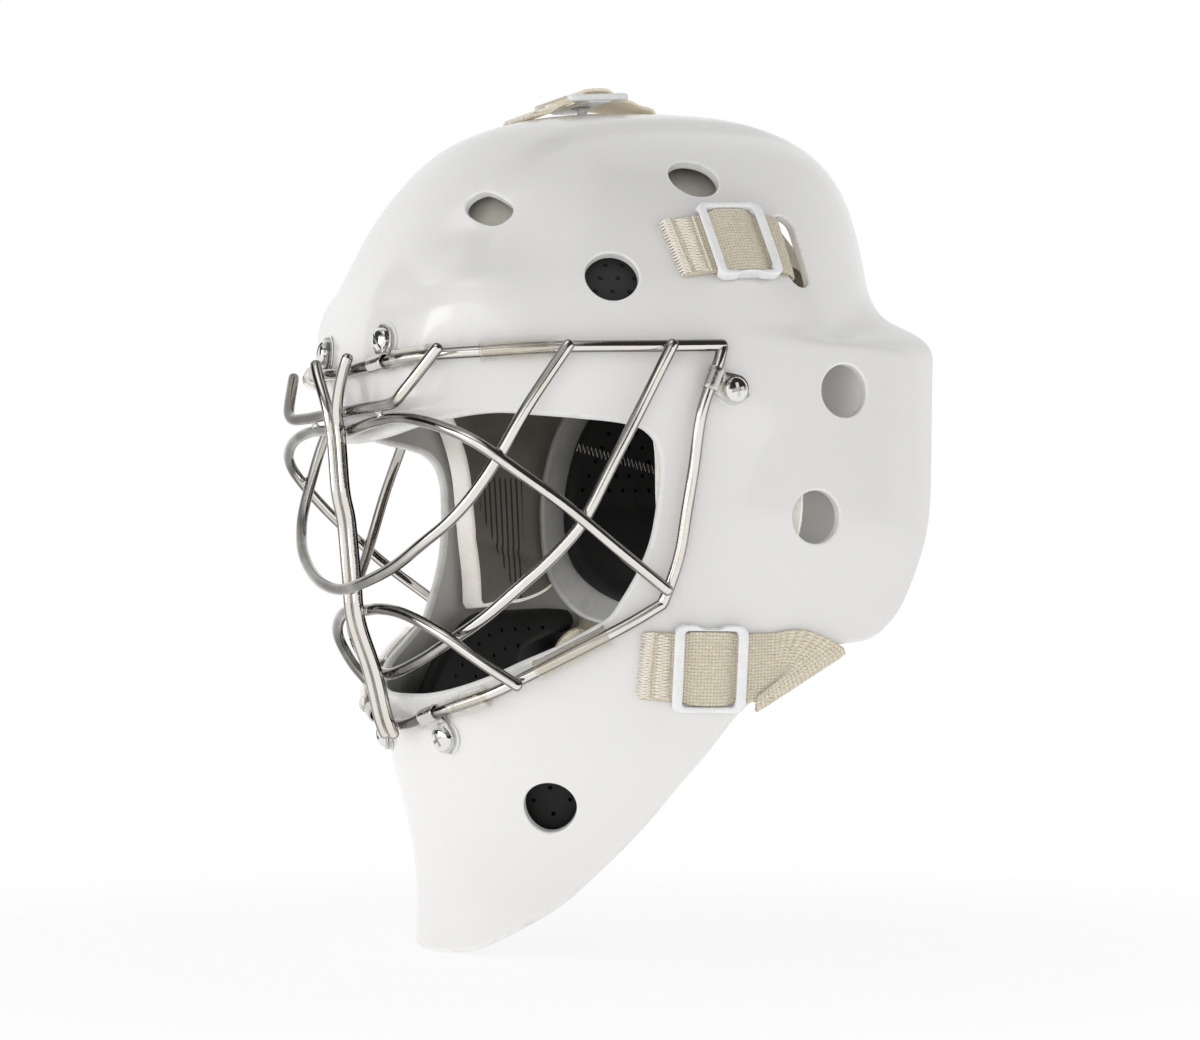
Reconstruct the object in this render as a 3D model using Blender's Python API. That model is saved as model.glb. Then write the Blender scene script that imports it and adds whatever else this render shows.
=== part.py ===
"""Ice-hockey goalie mask: shell, wire cage, straps with buckles, pads and back plate.

Built in millimetres in the head's own frame (+X the wearer's left, -Y the
front, +Z up), then moved so the origin is under the middle of the mask, and
written in metres.
"""
import math
import bpy
import bmesh
import numpy as np
from mathutils import Matrix, Vector
from mathutils.geometry import delaunay_2d_cdt

# ---------------------------------------------------------------- dimensions (mm)
SHELL_T = 4.0          # laminate thickness
MESH = 14.0            # facet length on the shell
WIRE_R = 2.2           # cage wire radius
WIRE_GAP = 0.35        # air between two wires that cross
VENT_R = 10.0          # round vent holes
SCREW_HOLE_R = 2.5     # holes for the cage screws and buckle posts
SLEEVE_R, SLEEVE_BORE = 4.1, 2.8
STRAP_W, STRAP_T = 25.4, 1.5
BUCKLE_L, BUCKLE_W, BUCKLE_H = 28.0, 32.6, 5.2
PAD_GAP = 2.6          # pads hang this far inside the shell
PAD_T = 9.5
PLATE_T = 3.5
CROWN_REST = 136.0      # level of the crown pad's flat underside
SHIFT = (0.0, 4.62, 166.92)   # from the head's frame to the middle of the underside
MM = 0.001

# ---------------------------------------------------------------- small maths
def dense(xs, ys, soft=5.0, step=1.0):
    """Table of a smooth curve through (xs, ys), sampled each millimetre and softened."""
    xs = np.asarray(xs, float)
    ys = np.asarray(ys, float)
    h = np.diff(xs)
    d = np.diff(ys) / h
    m = np.zeros(len(xs))
    for i in range(1, len(xs) - 1):
        if d[i - 1] * d[i] > 0:
            w1, w2 = 2 * h[i] + h[i - 1], h[i] + 2 * h[i - 1]
            m[i] = (w1 + w2) / (w1 / d[i - 1] + w2 / d[i])
    m[0], m[-1] = d[0], d[-1]
    pad = 4 * soft
    x = np.arange(xs[0] - pad, xs[-1] + pad + step, step)
    xc = np.clip(x, xs[0], xs[-1])
    k = np.clip(np.searchsorted(xs, xc) - 1, 0, len(xs) - 2)
    t = (xc - xs[k]) / h[k]
    y = ((2 * t**3 - 3 * t**2 + 1) * ys[k] + (t**3 - 2 * t**2 + t) * h[k] * m[k]
         + (3 * t**2 - 2 * t**3) * ys[k + 1] + (t**3 - t**2) * h[k] * m[k + 1])
    y = y + np.where(x < xs[0], (x - xs[0]) * m[0], 0) + np.where(x > xs[-1], (x - xs[-1]) * m[-1], 0)
    g = np.arange(-3 * soft, 3 * soft + step, step)
    w = np.exp(-0.5 * (g / soft) ** 2)
    w /= w.sum()
    n = len(g) // 2
    y = np.convolve(np.pad(y, n, mode='edge'), w, mode='same')[n:n + len(x)]
    return x, y


def at(tab, x):
    return np.interp(x, tab[0], tab[1])


def smax(a, b, k):
    h = np.clip(0.5 + 0.5 * (a - b) / k, 0, 1)
    return b + (a - b) * h + k * h * (1 - h)


def smin(a, b, k):
    return -smax(-a, -b, k)


def sstep(t):
    t = np.clip(t, 0, 1)
    return t * t * (3 - 2 * t)


def unit(v):
    return v / np.linalg.norm(v, axis=-1, keepdims=True)


# ---------------------------------------------------------------- the shell's outer surface
CENTRE = np.array([0.0, 5.0, -5.0])
# jaw, cheeks and wings, by level: front, half width, where it is widest, fullness
BZ = [-185, -170, -160, -145, -121, -105, -88, -76, -65, -50, -33, 0, 35, 60, 80]
B_YF = dense(BZ, [-77.5, -77, -76.5, -76.5, -79, -81.5, -83, -85, -87.5, -91.5, -95.5, -101, -105, -107, -106])
B_W = dense(BZ, [74, 76, 78, 82, 90, 94, 98, 99, 100, 101, 102, 104, 104.5, 104.5, 104])
B_YW = dense(BZ, [60, 60, 60, 60, 58, 56, 54, 52, 50, 48, 48, 48, 48, 48, 48])
B_P = dense(BZ, [2.0, 2.0, 2.0, 2.0, 2.1, 2.3, 2.5, 2.5, 2.5, 2.5, 2.5, 2.5, 2.5, 2.5, 2.5])
B_Q = dense(BZ, [1.8, 1.75, 1.7, 1.4, 1.25, 1.35, 1.55, 1.65, 1.7, 1.75, 1.75, 1.75, 1.75, 1.75, 1.75])
BODY_BACK = 130.0
LEDGE_Z = 73.5
# dome
AZ = [-90, -60, -30, 0, 20, 40, 60, 76, 97, 110, 126, 135, 142, 150, 156, 160, 163.2]
A_YF = dense(AZ, [-60, -75, -88, -96, -101, -105, -108, -107, -98.5, -92, -81, -73, -65, -49, -28, -3, 46], 3)
A_W = dense(AZ, [50, 75, 88, 92.5, 96.5, 100.5, 102, 100, 91.5, 85, 75, 67.5, 60, 46.5, 34, 22, 0.5], 3)
A_YW = dense(AZ, [10, 10, 10, 10, 10, 10, 10, 12, 16, 20, 26, 30, 33, 40, 45, 48, 49], 3)
A_YR = dense(AZ, [110, 110, 110, 110, 110, 109, 107, 106, 105.5, 104.5, 102, 99, 95.5, 90, 84, 76, 50], 3)
Z_TOP = 163.2
# raised band along the middle of the dome, and the brow's corners beside it
BAND_X = dense([60, 80, 100, 125, 150, 167], [66, 60, 50, 44, 40, 38])
BAND_H = 3.0
BROW_H, BROW_X, BROW_Z = 8.0, 57.0, 73.0


def g_body(P):
    x, y, z = np.abs(P[..., 0]), P[..., 1], P[..., 2]
    w, yw, yf, p, q = (at(t, z) for t in (B_W, B_YW, B_YF, B_P, B_Q))
    u = x / w
    f = np.maximum(yw - y, 0) / (yw - yf)
    b = np.maximum(y - yw, 0) / (BODY_BACK - yw)
    return np.where(y < yw, u ** p + f ** q, u ** 2.6 + b ** 2.6) - 1


def g_dome(P):
    x, y, z = np.abs(P[..., 0]), P[..., 1], P[..., 2]
    w, yw, yf, yr = (at(t, z) for t in (A_W, A_YW, A_YF, A_YR))
    u = x / np.maximum(w, 0.4)
    f = np.maximum(yw - y, 0) / np.maximum(yw - yf, 0.3)
    b = np.maximum(y - yw, 0) / np.maximum(yr - yw, 0.3)
    g = np.where(y < yw, u ** 2.3 + f ** 1.9, u ** 2.2 + b ** 2.2) - 1
    return np.where(z > Z_TOP, 9.0, g)


def cast(g, dirs, n=19):
    """How far g = 0 lies from CENTRE along each direction."""
    lo = np.full(len(dirs), 20.0)
    up = np.full(len(dirs), 260.0)
    for _ in range(n):
        mid = 0.5 * (lo + up)
        inside = g(CENTRE + dirs * mid[:, None]) < 0
        lo = np.where(inside, mid, lo)
        up = np.where(inside, up, mid)
    a = g(CENTRE + dirs * lo[:, None])
    b = g(CENTRE + dirs * up[:, None])
    return lo + (up - lo) * np.clip(a / np.minimum(a - b, -1e-12), 0, 1)


def radius(d):
    rb = cast(g_body, d)
    den = d[:, 2] + 0.10 * np.abs(d[:, 0]) - 0.02
    ra = cast(g_dome, d)
    pt = CENTRE + d * ra[:, None]
    rear = sstep((pt[:, 1] - 45) / 45)          # towards the rear the wings' top corner is higher and fuller
    ledge = np.where(den > 0.2, (LEDGE_Z + 5.5 * rear - CENTRE[2]) / np.maximum(den, 1e-3), 400.0)
    rb = smin(rb, np.minimum(ledge, 400), 9.0 + 16.0 * rear)
    fade = sstep((pt[:, 2] - 72) / 25) * sstep((75 - pt[:, 1]) / 40)
    ra = ra + BAND_H * sstep((at(BAND_X, pt[:, 2]) - np.abs(pt[:, 0])) / 9 + 0.5) * fade
    r = smax(ra, rb, 7.0 + 22.0 * rear)
    pt = CENTRE + d * r[:, None]
    front = sstep((-40 - pt[:, 1]) / 40)
    return r + BROW_H * np.exp(-((np.abs(pt[:, 0]) - BROW_X) / 17) ** 2 - ((pt[:, 2] - BROW_Z) / 17) ** 2) * front


# the back plate: a flatter section that sits inside the wings
P_W = dense([-60, -42, -20, 20, 60, 80, 102], [76, 79, 81, 81.5, 80, 77, 71], 3)
P_YR = dense([-60, -42, -20, 20, 60, 80, 102], [97, 101, 106, 110, 110.5, 109, 105], 3)


def g_plate(P):
    x, y, z = np.abs(P[..., 0]), P[..., 1], P[..., 2]
    w, yr = at(P_W, z), at(P_YR, z)
    return (x / w) ** 3.0 + (np.maximum(y - 15, 0) / (yr - 15)) ** 2.6 - 1


def r_plate(d):
    return cast(g_plate, d)


def surf_n(dirs, rad=None, e=4e-3):
    """Points and outward normals of a surface given as a radius over direction."""
    rad = rad or radius

    def s(v):
        return CENTRE + v * rad(v)[:, None]
    a = np.where(np.abs(dirs[:, 1:2]) < 0.9, np.array([[0, 1.0, 0]]), np.array([[1.0, 0, 0]]))
    t1 = unit(np.cross(dirs, a))
    t2 = np.cross(dirs, t1)
    d1 = s(unit(dirs + e * t1)) - s(unit(dirs - e * t1))
    d2 = s(unit(dirs + e * t2)) - s(unit(dirs - e * t2))
    n = unit(np.cross(d1, d2))
    return s(dirs), n * np.sign((n * dirs).sum(1, keepdims=True))


def to_dir(P):
    return unit(np.atleast_2d(np.asarray(P, float)) - CENTRE)


def on_shell(P, off=0.0, rad=None):
    """The points P pulled onto the surface, then moved `off` along its normal."""
    p, n = surf_n(to_dir(P), rad)
    return p + off * n, n


# ---------------------------------------------------------------- curves and loops
def spline(ctrl, n=200, closed=False):
    """Centripetal Catmull-Rom through the control points, evenly resampled."""
    c = np.asarray(ctrl, float)
    if closed:
        c = np.vstack([c[-1], c, c[0], c[1]])
    else:
        c = np.vstack([2 * c[0] - c[1], c, 2 * c[-1] - c[-2]])
    out = []
    for i in range(1, len(c) - 2):
        p = c[i - 1:i + 3]
        t = np.concatenate([[0], np.cumsum(np.maximum(np.linalg.norm(np.diff(p, axis=0), axis=1), 1e-6) ** 0.5)])
        u = np.linspace(t[1], t[2], 24, endpoint=False)[:, None]
        a = [((t[k + 1] - u) * p[k] + (u - t[k]) * p[k + 1]) / (t[k + 1] - t[k]) for k in range(3)]
        b = [((t[k + 2] - u) * a[k] + (u - t[k]) * a[k + 1]) / (t[k + 2] - t[k]) for k in range(2)]
        out.append(((t[2] - u) * b[0] + (u - t[1]) * b[1]) / (t[2] - t[1]))
    out = np.vstack(out + [c[-2][None]])
    return resample(out, n, closed)


def resample(pts, n, closed=False):
    s = np.concatenate([[0], np.cumsum(np.linalg.norm(np.diff(pts, axis=0), axis=1))])
    t = np.linspace(0, s[-1], n + 1 if closed else n)
    r = np.stack([np.interp(t, s, pts[:, k]) for k in range(pts.shape[1])], 1)
    return r[:-1] if closed else r


def length(pts):
    return float(np.linalg.norm(np.diff(pts, axis=0), axis=1).sum())


def mirror_loop(half):
    """Close a left-side half loop (from the top centre to the bottom centre) with its mirror."""
    h = np.asarray(half, float)
    m = h[::-1] * np.array([-1, 1, 1])
    m = m[1:] if abs(h[-1, 0]) < 1e-6 else m
    m = m[:-1] if abs(h[0, 0]) < 1e-6 else m
    return np.vstack([h, m])


def loop_on(ctrl, step, rad=None, corners=False):
    """A closed loop of directions through the control points, about `step` mm apart."""
    p, _ = on_shell(ctrl, rad=rad)
    c = spline(p, 600, True)
    n = max(8, int(round(length(np.vstack([c, c[:1]])) / step)))
    return to_dir(spline(p, n, True))


def circle_on(centre, r, n=16, rad=None):
    """A round hole of radius r about the surface point nearest `centre`'s direction."""
    p, nn = surf_n(to_dir(centre), rad)
    p, nn = p[0], nn[0]
    a = unit(np.cross(nn, [0, 0, 1.0]))
    b = np.cross(nn, a)
    t = np.arange(n) * 2 * math.pi / n
    return to_dir(p + r * (np.cos(t)[:, None] * a + np.sin(t)[:, None] * b))


def slot_on(centre, along, half_len, half_w, n=3):
    """A round-ended slot on the shell, `along` its long direction."""
    p, nn = surf_n(to_dir(centre))
    p, nn = p[0], nn[0]
    a = np.asarray(along, float)
    a = unit(a - nn * (a @ nn))
    b = np.cross(nn, a)
    pts = []
    for s in (1, -1):
        for k in range(n + 1):
            t = -math.pi / 2 + math.pi * k / n
            pts.append(s * (half_len - half_w + half_w * math.cos(t)) * a + s * half_w * math.sin(t) * b)
    return to_dir(p + np.array(pts))


# ---------------------------------------------------------------- surface patches
def plane_of(d, pole):
    y = d[:, 1] * pole
    return np.stack([d[:, 0], d[:, 2]], 1) / (1 - y)[:, None]


def dirs_of(q, pole):
    s = (q ** 2).sum(1)
    return np.stack([2 * q[:, 0], (s - 1) * pole, 2 * q[:, 1]], 1) / (1 + s)[:, None]


def inside(q, poly):
    x, y = q[:, 0], q[:, 1]
    c = np.zeros(len(q), bool)
    j = len(poly) - 1
    for i in range(len(poly)):
        xi, yi = poly[i]
        xj, yj = poly[j]
        if yi != yj:
            c ^= ((yi > y) != (yj > y)) & (x < (xj - xi) * (y - yi) / (yj - yi) + xi)
        j = i
    return c


def even_points(step, rad, pole, loops, count=14000):
    """Directions spread so the surface points lie about `step` apart, clear of the loops."""
    k = np.arange(count) + 0.5
    z = 1 - 2 * k / count
    a = math.pi * (1 + 5 ** 0.5) * k
    d = np.stack([np.cos(a) * np.sqrt(1 - z * z), z, np.sin(a) * np.sqrt(1 - z * z)], 1)
    q = plane_of(d, pole)
    outer = plane_of(loops[0], pole)
    ok = inside(q, outer)
    for h in loops[1:]:
        ok &= ~inside(q, plane_of(h, pole))
    d = d[ok]
    p = CENTRE + d * rad(d)[:, None]
    taken = {}

    def cell(v):
        return tuple(int(math.floor(c / step)) for c in v)

    def near(v, dist):
        c = cell(v)
        for dx in (-1, 0, 1):
            for dy in (-1, 0, 1):
                for dz in (-1, 0, 1):
                    for w, lim in taken.get((c[0] + dx, c[1] + dy, c[2] + dz), ()):
                        if np.dot(v - w, v - w) < max(dist * dist, lim * lim):
                            return True
        return False
    for lp in loops:
        lp3 = CENTRE + lp * rad(lp)[:, None]
        gap = np.linalg.norm(np.roll(lp3, -1, 0) - lp3, axis=1).mean()
        for v in lp3:
            taken.setdefault(cell(v), []).append((v, 0.75 * min(gap, step)))
    keep = []
    # walk in a fixed scattered order, so the sample is even in every direction
    order = np.argsort((np.arange(len(d)) * 0.6180339887) % 1.0)
    for i in order:
        v = p[i]
        c = cell(v)
        bad = False
        for dx in (-1, 0, 1):
            for dy in (-1, 0, 1):
                for dz in (-1, 0, 1):
                    for w, lim in taken.get((c[0] + dx, c[1] + dy, c[2] + dz), ()):
                        e = v - w
                        if e[0] * e[0] + e[1] * e[1] + e[2] * e[2] < lim * lim:
                            bad = True
                            break
                    if bad:
                        break
                if bad:
                    break
            if bad:
                break
        if not bad:
            taken.setdefault(c, []).append((v, 0.82 * step))
            keep.append(i)
    return d[keep]


def patch(name, loops, step, top, bottom, rad=None, pole=1, shape=None):
    """A closed sheet over the region inside loops[0] and outside the others.

    top and bottom are offsets along the normal for its two faces.
    """
    rad = rad or radius
    inner = even_points(step, rad, pole, loops)
    d = np.vstack(list(loops) + [inner])
    q = plane_of(d, pole)
    faces, start = [], 0
    for lp in loops:
        faces.append(list(range(start, start + len(lp))))
        start += len(lp)
    edges = [(f[i], f[(i + 1) % len(f)]) for f in faces for i in range(len(f))]
    res = delaunay_2d_cdt([Vector(v) for v in q], edges, [], 0, 1e-9)
    verts, tris, orig = res[0], res[2], res[3]
    index = [o[0] for o in orig]
    tri = np.array([[index[i] for i in t] for t in tris])
    mid = q[tri].mean(1)
    ok = inside(mid, q[faces[0]])
    for f in faces[1:]:
        ok &= ~inside(mid, q[f])
    tri = tri[ok]
    p, n = surf_n(d, rad)
    # turn every triangle the same way as the normal
    fn = np.cross(p[tri[:, 1]] - p[tri[:, 0]], p[tri[:, 2]] - p[tri[:, 0]])
    flip = (fn * n[tri[:, 0]]).sum(1) < 0
    tri[flip] = tri[flip][:, ::-1]
    a, b = p + top * n, p + bottom * n
    if shape:
        b = shape(a, b, n)
    k = len(d)
    fs = [tuple(t) for t in tri] + [tuple(t[::-1] + k) for t in tri]
    # the rim: every edge used once gets a wall
    seen = {}
    for t in tri:
        for i in range(3):
            seen[(t[i], t[(i + 1) % 3])] = True
    for (i, j) in list(seen):
        if (j, i) not in seen:
            fs.append((j, i, i + k))
            fs.append((j, i + k, j + k))
    return make(name, np.vstack([a, b]), fs)


# ---------------------------------------------------------------- Blender objects
MATERIALS = {
    'shell_white': ((0.86, 0.86, 0.85), 0.12, 0.0),
    'wire_steel': ((0.72, 0.70, 0.66), 0.14, 1.0),
    'clear_vinyl': ((0.90, 0.90, 0.84), 0.20, 0.0),
    'clip_steel': ((0.60, 0.59, 0.57), 0.22, 1.0),
    'screw_steel': ((0.74, 0.74, 0.73), 0.12, 1.0),
    'strap_beige': ((0.66, 0.58, 0.44), 0.90, 0.0),
    'buckle_white': ((0.88, 0.88, 0.88), 0.35, 0.0),
    'foam_taupe': ((0.36, 0.33, 0.28), 0.85, 0.0),
    'foam_black': ((0.02, 0.02, 0.022), 0.80, 0.0),
    'sweatband_grey': ((0.09, 0.09, 0.10), 0.95, 0.0),
}


def material(slot):
    m = bpy.data.materials.get(slot)
    if m is None:
        m = bpy.data.materials.new(slot)
        m.use_nodes = True
        b = m.node_tree.nodes['Principled BSDF']
        col, rough, metal = MATERIALS[slot]
        b.inputs['Base Color'].default_value = (*col, 1)
        b.inputs['Roughness'].default_value = rough
        b.inputs['Metallic'].default_value = metal
    return m


SLOT_OF = {}


def make(name, verts, faces, slot=None):
    """A mesh object from points in the head's frame (mm)."""
    me = bpy.data.meshes.new(name)
    v = (np.asarray(verts, float) + np.array(SHIFT)) * MM
    me.from_pydata([tuple(c) for c in v], [], [tuple(int(i) for i in f) for f in faces])
    me.update()
    bm = bmesh.new()
    bm.from_mesh(me)
    bmesh.ops.remove_doubles(bm, verts=bm.verts, dist=1e-7)
    bmesh.ops.recalc_face_normals(bm, faces=bm.faces)
    bmesh.ops.triangulate(bm, faces=bm.faces)
    bm.to_mesh(me)
    bm.free()
    ob = bpy.data.objects.new(name, me)
    bpy.context.scene.collection.objects.link(ob)
    return ob


def dress(ob, slot, angle=35):
    ob.data.materials.clear()
    ob.data.materials.append(material(slot))
    ob.data.shade_smooth()
    ob.data.set_sharp_from_angle(angle=math.radians(angle))
    return ob


def tube(name, pts, r, sides=8, bore=0.0, caps=True):
    """A round wire along pts; with a bore it is an open sleeve."""
    pts = np.asarray(pts, float)
    t = unit(np.gradient(pts, axis=0))
    ref = np.array([0, 0, 1.0]) if abs(t[0, 2]) < 0.9 else np.array([1.0, 0, 0])
    u = unit(np.cross(t[0], ref))
    rings, inner = [], []
    for i in range(len(pts)):
        if i:
            u = u - t[i] * (u @ t[i])
            u /= np.linalg.norm(u)
        w = np.cross(t[i], u)
        a = (np.arange(sides) + 0.5) * 2 * math.pi / sides
        ring = np.cos(a)[:, None] * u + np.sin(a)[:, None] * w
        rings.append(pts[i] + r * ring)
        inner.append(pts[i] + bore * ring)
    n = len(pts)
    v = list(np.vstack(rings))
    f = []
    for i in range(n - 1):
        for k in range(sides):
            a, b = i * sides + k, i * sides + (k + 1) % sides
            f.append((a, b, b + sides, a + sides))
    if bore:
        o = len(v)
        v += list(np.vstack(inner))
        for i in range(n - 1):
            for k in range(sides):
                a, b = o + i * sides + k, o + i * sides + (k + 1) % sides
                f.append((b, a, a + sides, b + sides))
        for e in (0, n - 1):
            for k in range(sides):
                a, b = e * sides + k, e * sides + (k + 1) % sides
                q = (a, b, o + b, o + a)
                f.append(q[::-1] if e == 0 else q)
    else:
        f.append(tuple(range(sides))[::-1])
        f.append(tuple((n - 1) * sides + k for k in range(sides)))
    return make(name, v, f)


def frame_at(p, n, along):
    """Axes at a surface point: u along, v across, w outward."""
    n = unit(np.asarray(n, float))
    u = np.asarray(along, float)
    u = unit(u - n * (u @ n))
    return np.asarray(p, float), u, np.cross(n, u), n


def local(fr, pts):
    o, u, v, w = fr
    pts = np.asarray(pts, float)
    return o + pts[:, :1] * u + pts[:, 1:2] * v + pts[:, 2:3] * w


def prism(name, fr, outline, z0, z1):
    """An outline in (u, v) raised from z0 to z1 in the local frame."""
    k = len(outline)
    o = np.asarray(outline, float)
    v = np.vstack([np.c_[o, np.full(k, z0)], np.c_[o, np.full(k, z1)]])
    f = [tuple(range(k))[::-1], tuple(range(k, 2 * k))]
    f += [(i, (i + 1) % k, (i + 1) % k + k, i + k) for i in range(k)]
    return make(name, local(fr, v), f)


def ring_outline(r, n=12, phase=0.0):
    a = (np.arange(n) + phase) * 2 * math.pi / n
    return np.stack([r * np.cos(a), r * np.sin(a)], 1)


def round_box(hx, hy, r, n=3):
    pts = []
    for (sx, sy, a0) in ((1, 1, 0), (-1, 1, 90), (-1, -1, 180), (1, -1, 270)):
        for k in range(n + 1):
            a = math.radians(a0 + 90 * k / n)
            pts.append((sx * (hx - r) + r * math.cos(a), sy * (hy - r) + r * math.sin(a)))
    return np.array(pts)


def lathe(name, fr, profile, n=12):
    """Revolve (radius, height) pairs about the local w axis; the ends lie on the axis."""
    v, f, rings = [], [], []
    for r, h in profile:
        if r < 1e-6:
            rings.append([len(v)])
            v.append((0, 0, h))
        else:
            rings.append(list(range(len(v), len(v) + n)))
            v += [(r * math.cos(2 * math.pi * k / n), r * math.sin(2 * math.pi * k / n), h) for k in range(n)]
    for a, b in zip(rings, rings[1:]):
        for k in range(n):
            if len(a) == 1:
                f.append((a[0], b[k], b[(k + 1) % n]))
            elif len(b) == 1:
                f.append((a[k], a[(k + 1) % n], b[0]))
            else:
                f.append((a[k], a[(k + 1) % n], b[(k + 1) % n], b[k]))
    return make(name, local(fr, v), f)


def washer(name, fr, r_out, r_in, z0, z1, n=16):
    v, f = [], []
    for r, h in ((r_out, z0), (r_out, z1), (r_in, z1), (r_in, z0)):
        v += [(r * math.cos(2 * math.pi * k / n), r * math.sin(2 * math.pi * k / n), h) for k in range(n)]
    for a in range(4):
        b = (a + 1) % 4
        for k in range(n):
            f.append((a * n + k, a * n + (k + 1) % n, b * n + (k + 1) % n, b * n + k))
    return make(name, local(fr, v), f)


def boolean(ob, other, op):
    m = ob.modifiers.new(op, 'BOOLEAN')
    m.operation = op
    m.solver = 'EXACT'
    m.object = other
    bpy.context.view_layer.update()
    dg = bpy.context.evaluated_depsgraph_get()
    me = bpy.data.meshes.new_from_object(ob.evaluated_get(dg))
    ob.modifiers.remove(m)
    old = ob.data
    ob.data = me
    bpy.data.meshes.remove(old)
    bpy.data.objects.remove(other)
    bm = bmesh.new()
    bm.from_mesh(me)
    bmesh.ops.remove_doubles(bm, verts=bm.verts, dist=1e-6)
    bmesh.ops.dissolve_degenerate(bm, edges=bm.edges, dist=1e-6)
    bmesh.ops.triangulate(bm, faces=bm.faces)
    bm.to_mesh(me)
    bm.free()
    me.name = ob.name
    return ob


# ---------------------------------------------------------------- where things are (left side, mm)
# outlines of the back plate, its pad, and the pads inside the shell
PL = [(0, 105, 100), (30, 103, 99), (55, 95, 94), (70, 75, 82), (78, 50, 67), (82, 28, 50), (82.5, 18, 25),
      (82.5, 16, 0), (82, 20, -22), (80, 34, -38), (74, 62, -44), (50, 92, -44.5), (25, 99, -44), (0, 100, -44)]
PD = [(0, 103, 90), (28, 101, 89), (50, 93, 84), (64, 75, 75), (73, 52, 60), (76.5, 34, 44), (77.5, 25, 22),
      (77.5, 23, 0), (76.5, 27, -16), (73, 43, -29), (64, 70, -35), (45, 88, -36), (22, 95, -36), (0, 96, -36)]
FOREHEAD = [(0, -98, 84), (30, -95, 84), (55, -82, 82), (72, -62, 80), (76, -56, 70), (80, -60, 56), (76, -68, 44),
            (58, -88, 41), (30, -103, 39), (0, -108, 38)]
CROWN = [(0, -90, 107), (28, -86, 107), (48, -76, 107), (62, -61, 108), (73, -42, 110), (79, -20, 113), (81, 0, 115),
         (78, 22, 118), (66, 38, 128), (45, 46, 143), (24, 48, 151), (0, 49, 153)]
SIDE = [(84, -44, 54), (86, -46, 70), (79, -57, 84), (74, -54, 96), (78, -38, 101), (84, -20, 100), (91, -10, 90), (97, -6, 76),
        (99, 8, 70), (100, 24, 58), (101, 31, 45), (102, 32, 20), (101, 31, -8), (99, 22, -25), (95, 4, -29), (90, -11, -28),
        (88, -17, -20), (88, -19, -8), (89, -20, 5), (91, -21, 22), (90, -30, 40)]
JAW = [(0, -78, -92), (22, -76, -90), (44, -66, -80), (64, -50, -62), (76, -34, -47), (84, -17, -35.5), (90, 2, -34),
       (95, 24, -33.5), (96.5, 33, -35), (96, 34, -41), (93, 18, -45.5), (91, 6, -52), (89, 2, -66), (84, -2, -84), (74, -8, -102),
       (62, -20, -118), (46, -38, -128), (26, -58, -128), (0, -70, -126)]
VENTS = {'front': (45.7, -74.0, 116.8), 'temple': (85.3, -43.2, 85.7), 'crown': (71.5, 0.5, 127.5),
         'ear_upper': (104.5, 46.7, 45.6), 'ear_lower': (103.3, 34.6, -2.1), 'chin': (51.9, -50.8, -110.4)}
SCREWS = {'forehead': (26.3, -108, 64.7), 'temple': (102.5, -1.2, 44.8), 'chin': (25.6, -81, -85)}
EYE = [(0, -107, 27.5), (22, -106, 29), (45, -98, 33), (65.4, -79.8, 34.8), (73.9, -69.5, 33.8), (82.6, -55.7, 32.5), (89.4, -40.9, 30.8),
       (91.4, -34.5, 29), (92.6, -29.4, 24.5), (92.5, -27.1, 18), (91.6, -26.8, 8), (90.3, -27.5, -2), (88.8, -29.2, -12.4),
       (86.2, -32.8, -23), (82.8, -37.8, -33.3), (80.3, -41.3, -39.3), (77.1, -46.5, -43.2), (69.5, -56.8, -50.1), (60.0, -66.5, -55.7),
       (48.0, -75.2, -61.7), (32.6, -82.2, -66.2), (16.9, -85.7, -68.4), (0, -86.8, -69)]
TRIM = [(0, 98, 131), (20, 98, 129), (38, 97, 119), (54, 94, 104), (70, 89, 92), (80, 91, 80), (88, 93, 70), (92.5, 94.5, 54),
        (94.3, 94.9, 33.4), (95.1, 92.7, -1.6), (98, 84, -23), (99.5, 74, -38), (100.6, 62, -47), (100.8, 42, -50.9),
        (98, 26, -60), (92.1, 7.5, -74.6), (80.4, -7.1, -96.2), (64.9, -19.6, -118.9), (50.6, -37.3, -141.5),
        (38, -56, -156.6), (26.6, -67, -164), (12, -75, -166.8), (0, -77.2, -167.5)]
BUCKLES = {'top': ((0, -8, 160), (0, 1, 0)), 'upper': ((89.9, 7.2, 99.7), (0, 1, 0.06)),
           'lower': ((91.3, -6.3, -57.9), (0.2, 1, 0))}
LIFT = {'top': 3.0, 'upper': 0.0, 'lower': 0.0}      # height of the buckle's seat over the shell
STRAP_SPAN = {'top': (-29.0, 22.0), 'upper': (-26.5, 18.6), 'lower': (-24.5, 27.0)}   # along the strap, from its buckle
SLOT_AT = {'top': 30.5, 'upper': 26.5}   # slot centre, from the buckle
SLOT_LEN, SLOT_W = 32.0, 9.8

# cage wires, left half: perimeter wires as places on the shell, the others in space
TOP_BAR = [(0, -109, 54.2), (20.6, -107.2, 55.0), (42.4, -101.4, 56.7), (55.0, -95.4, 57.6), (66.9, -84.8, 57.8), (76.3, -72.0, 58.1),
           (84.1, -58.9, 58.3), (96.0, -30.1, 58.8), (101.0, -7.3, 59.8)]
SIDE_BAR = [(101.0, -8.9, 54.0), (98.2, -14.3, 35.8), (95.4, -15.9, 15.6), (93.4, -17.6, 0), (91.7, -19.6, -16.5), (89.6, -22.5, -28)]
BOTTOM_BAR = [(0, -85, -80), (10.3, -84.3, -78.5), (24.3, -82.8, -74.7), (35.2, -79.7, -72.0), (50.8, -71.7, -66.2), (60.7, -64.3, -60.4),
              (73.3, -50.8, -51.2), (82.8, -35.6, -41.8), (88.2, -24.6, -34.4)]
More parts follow.
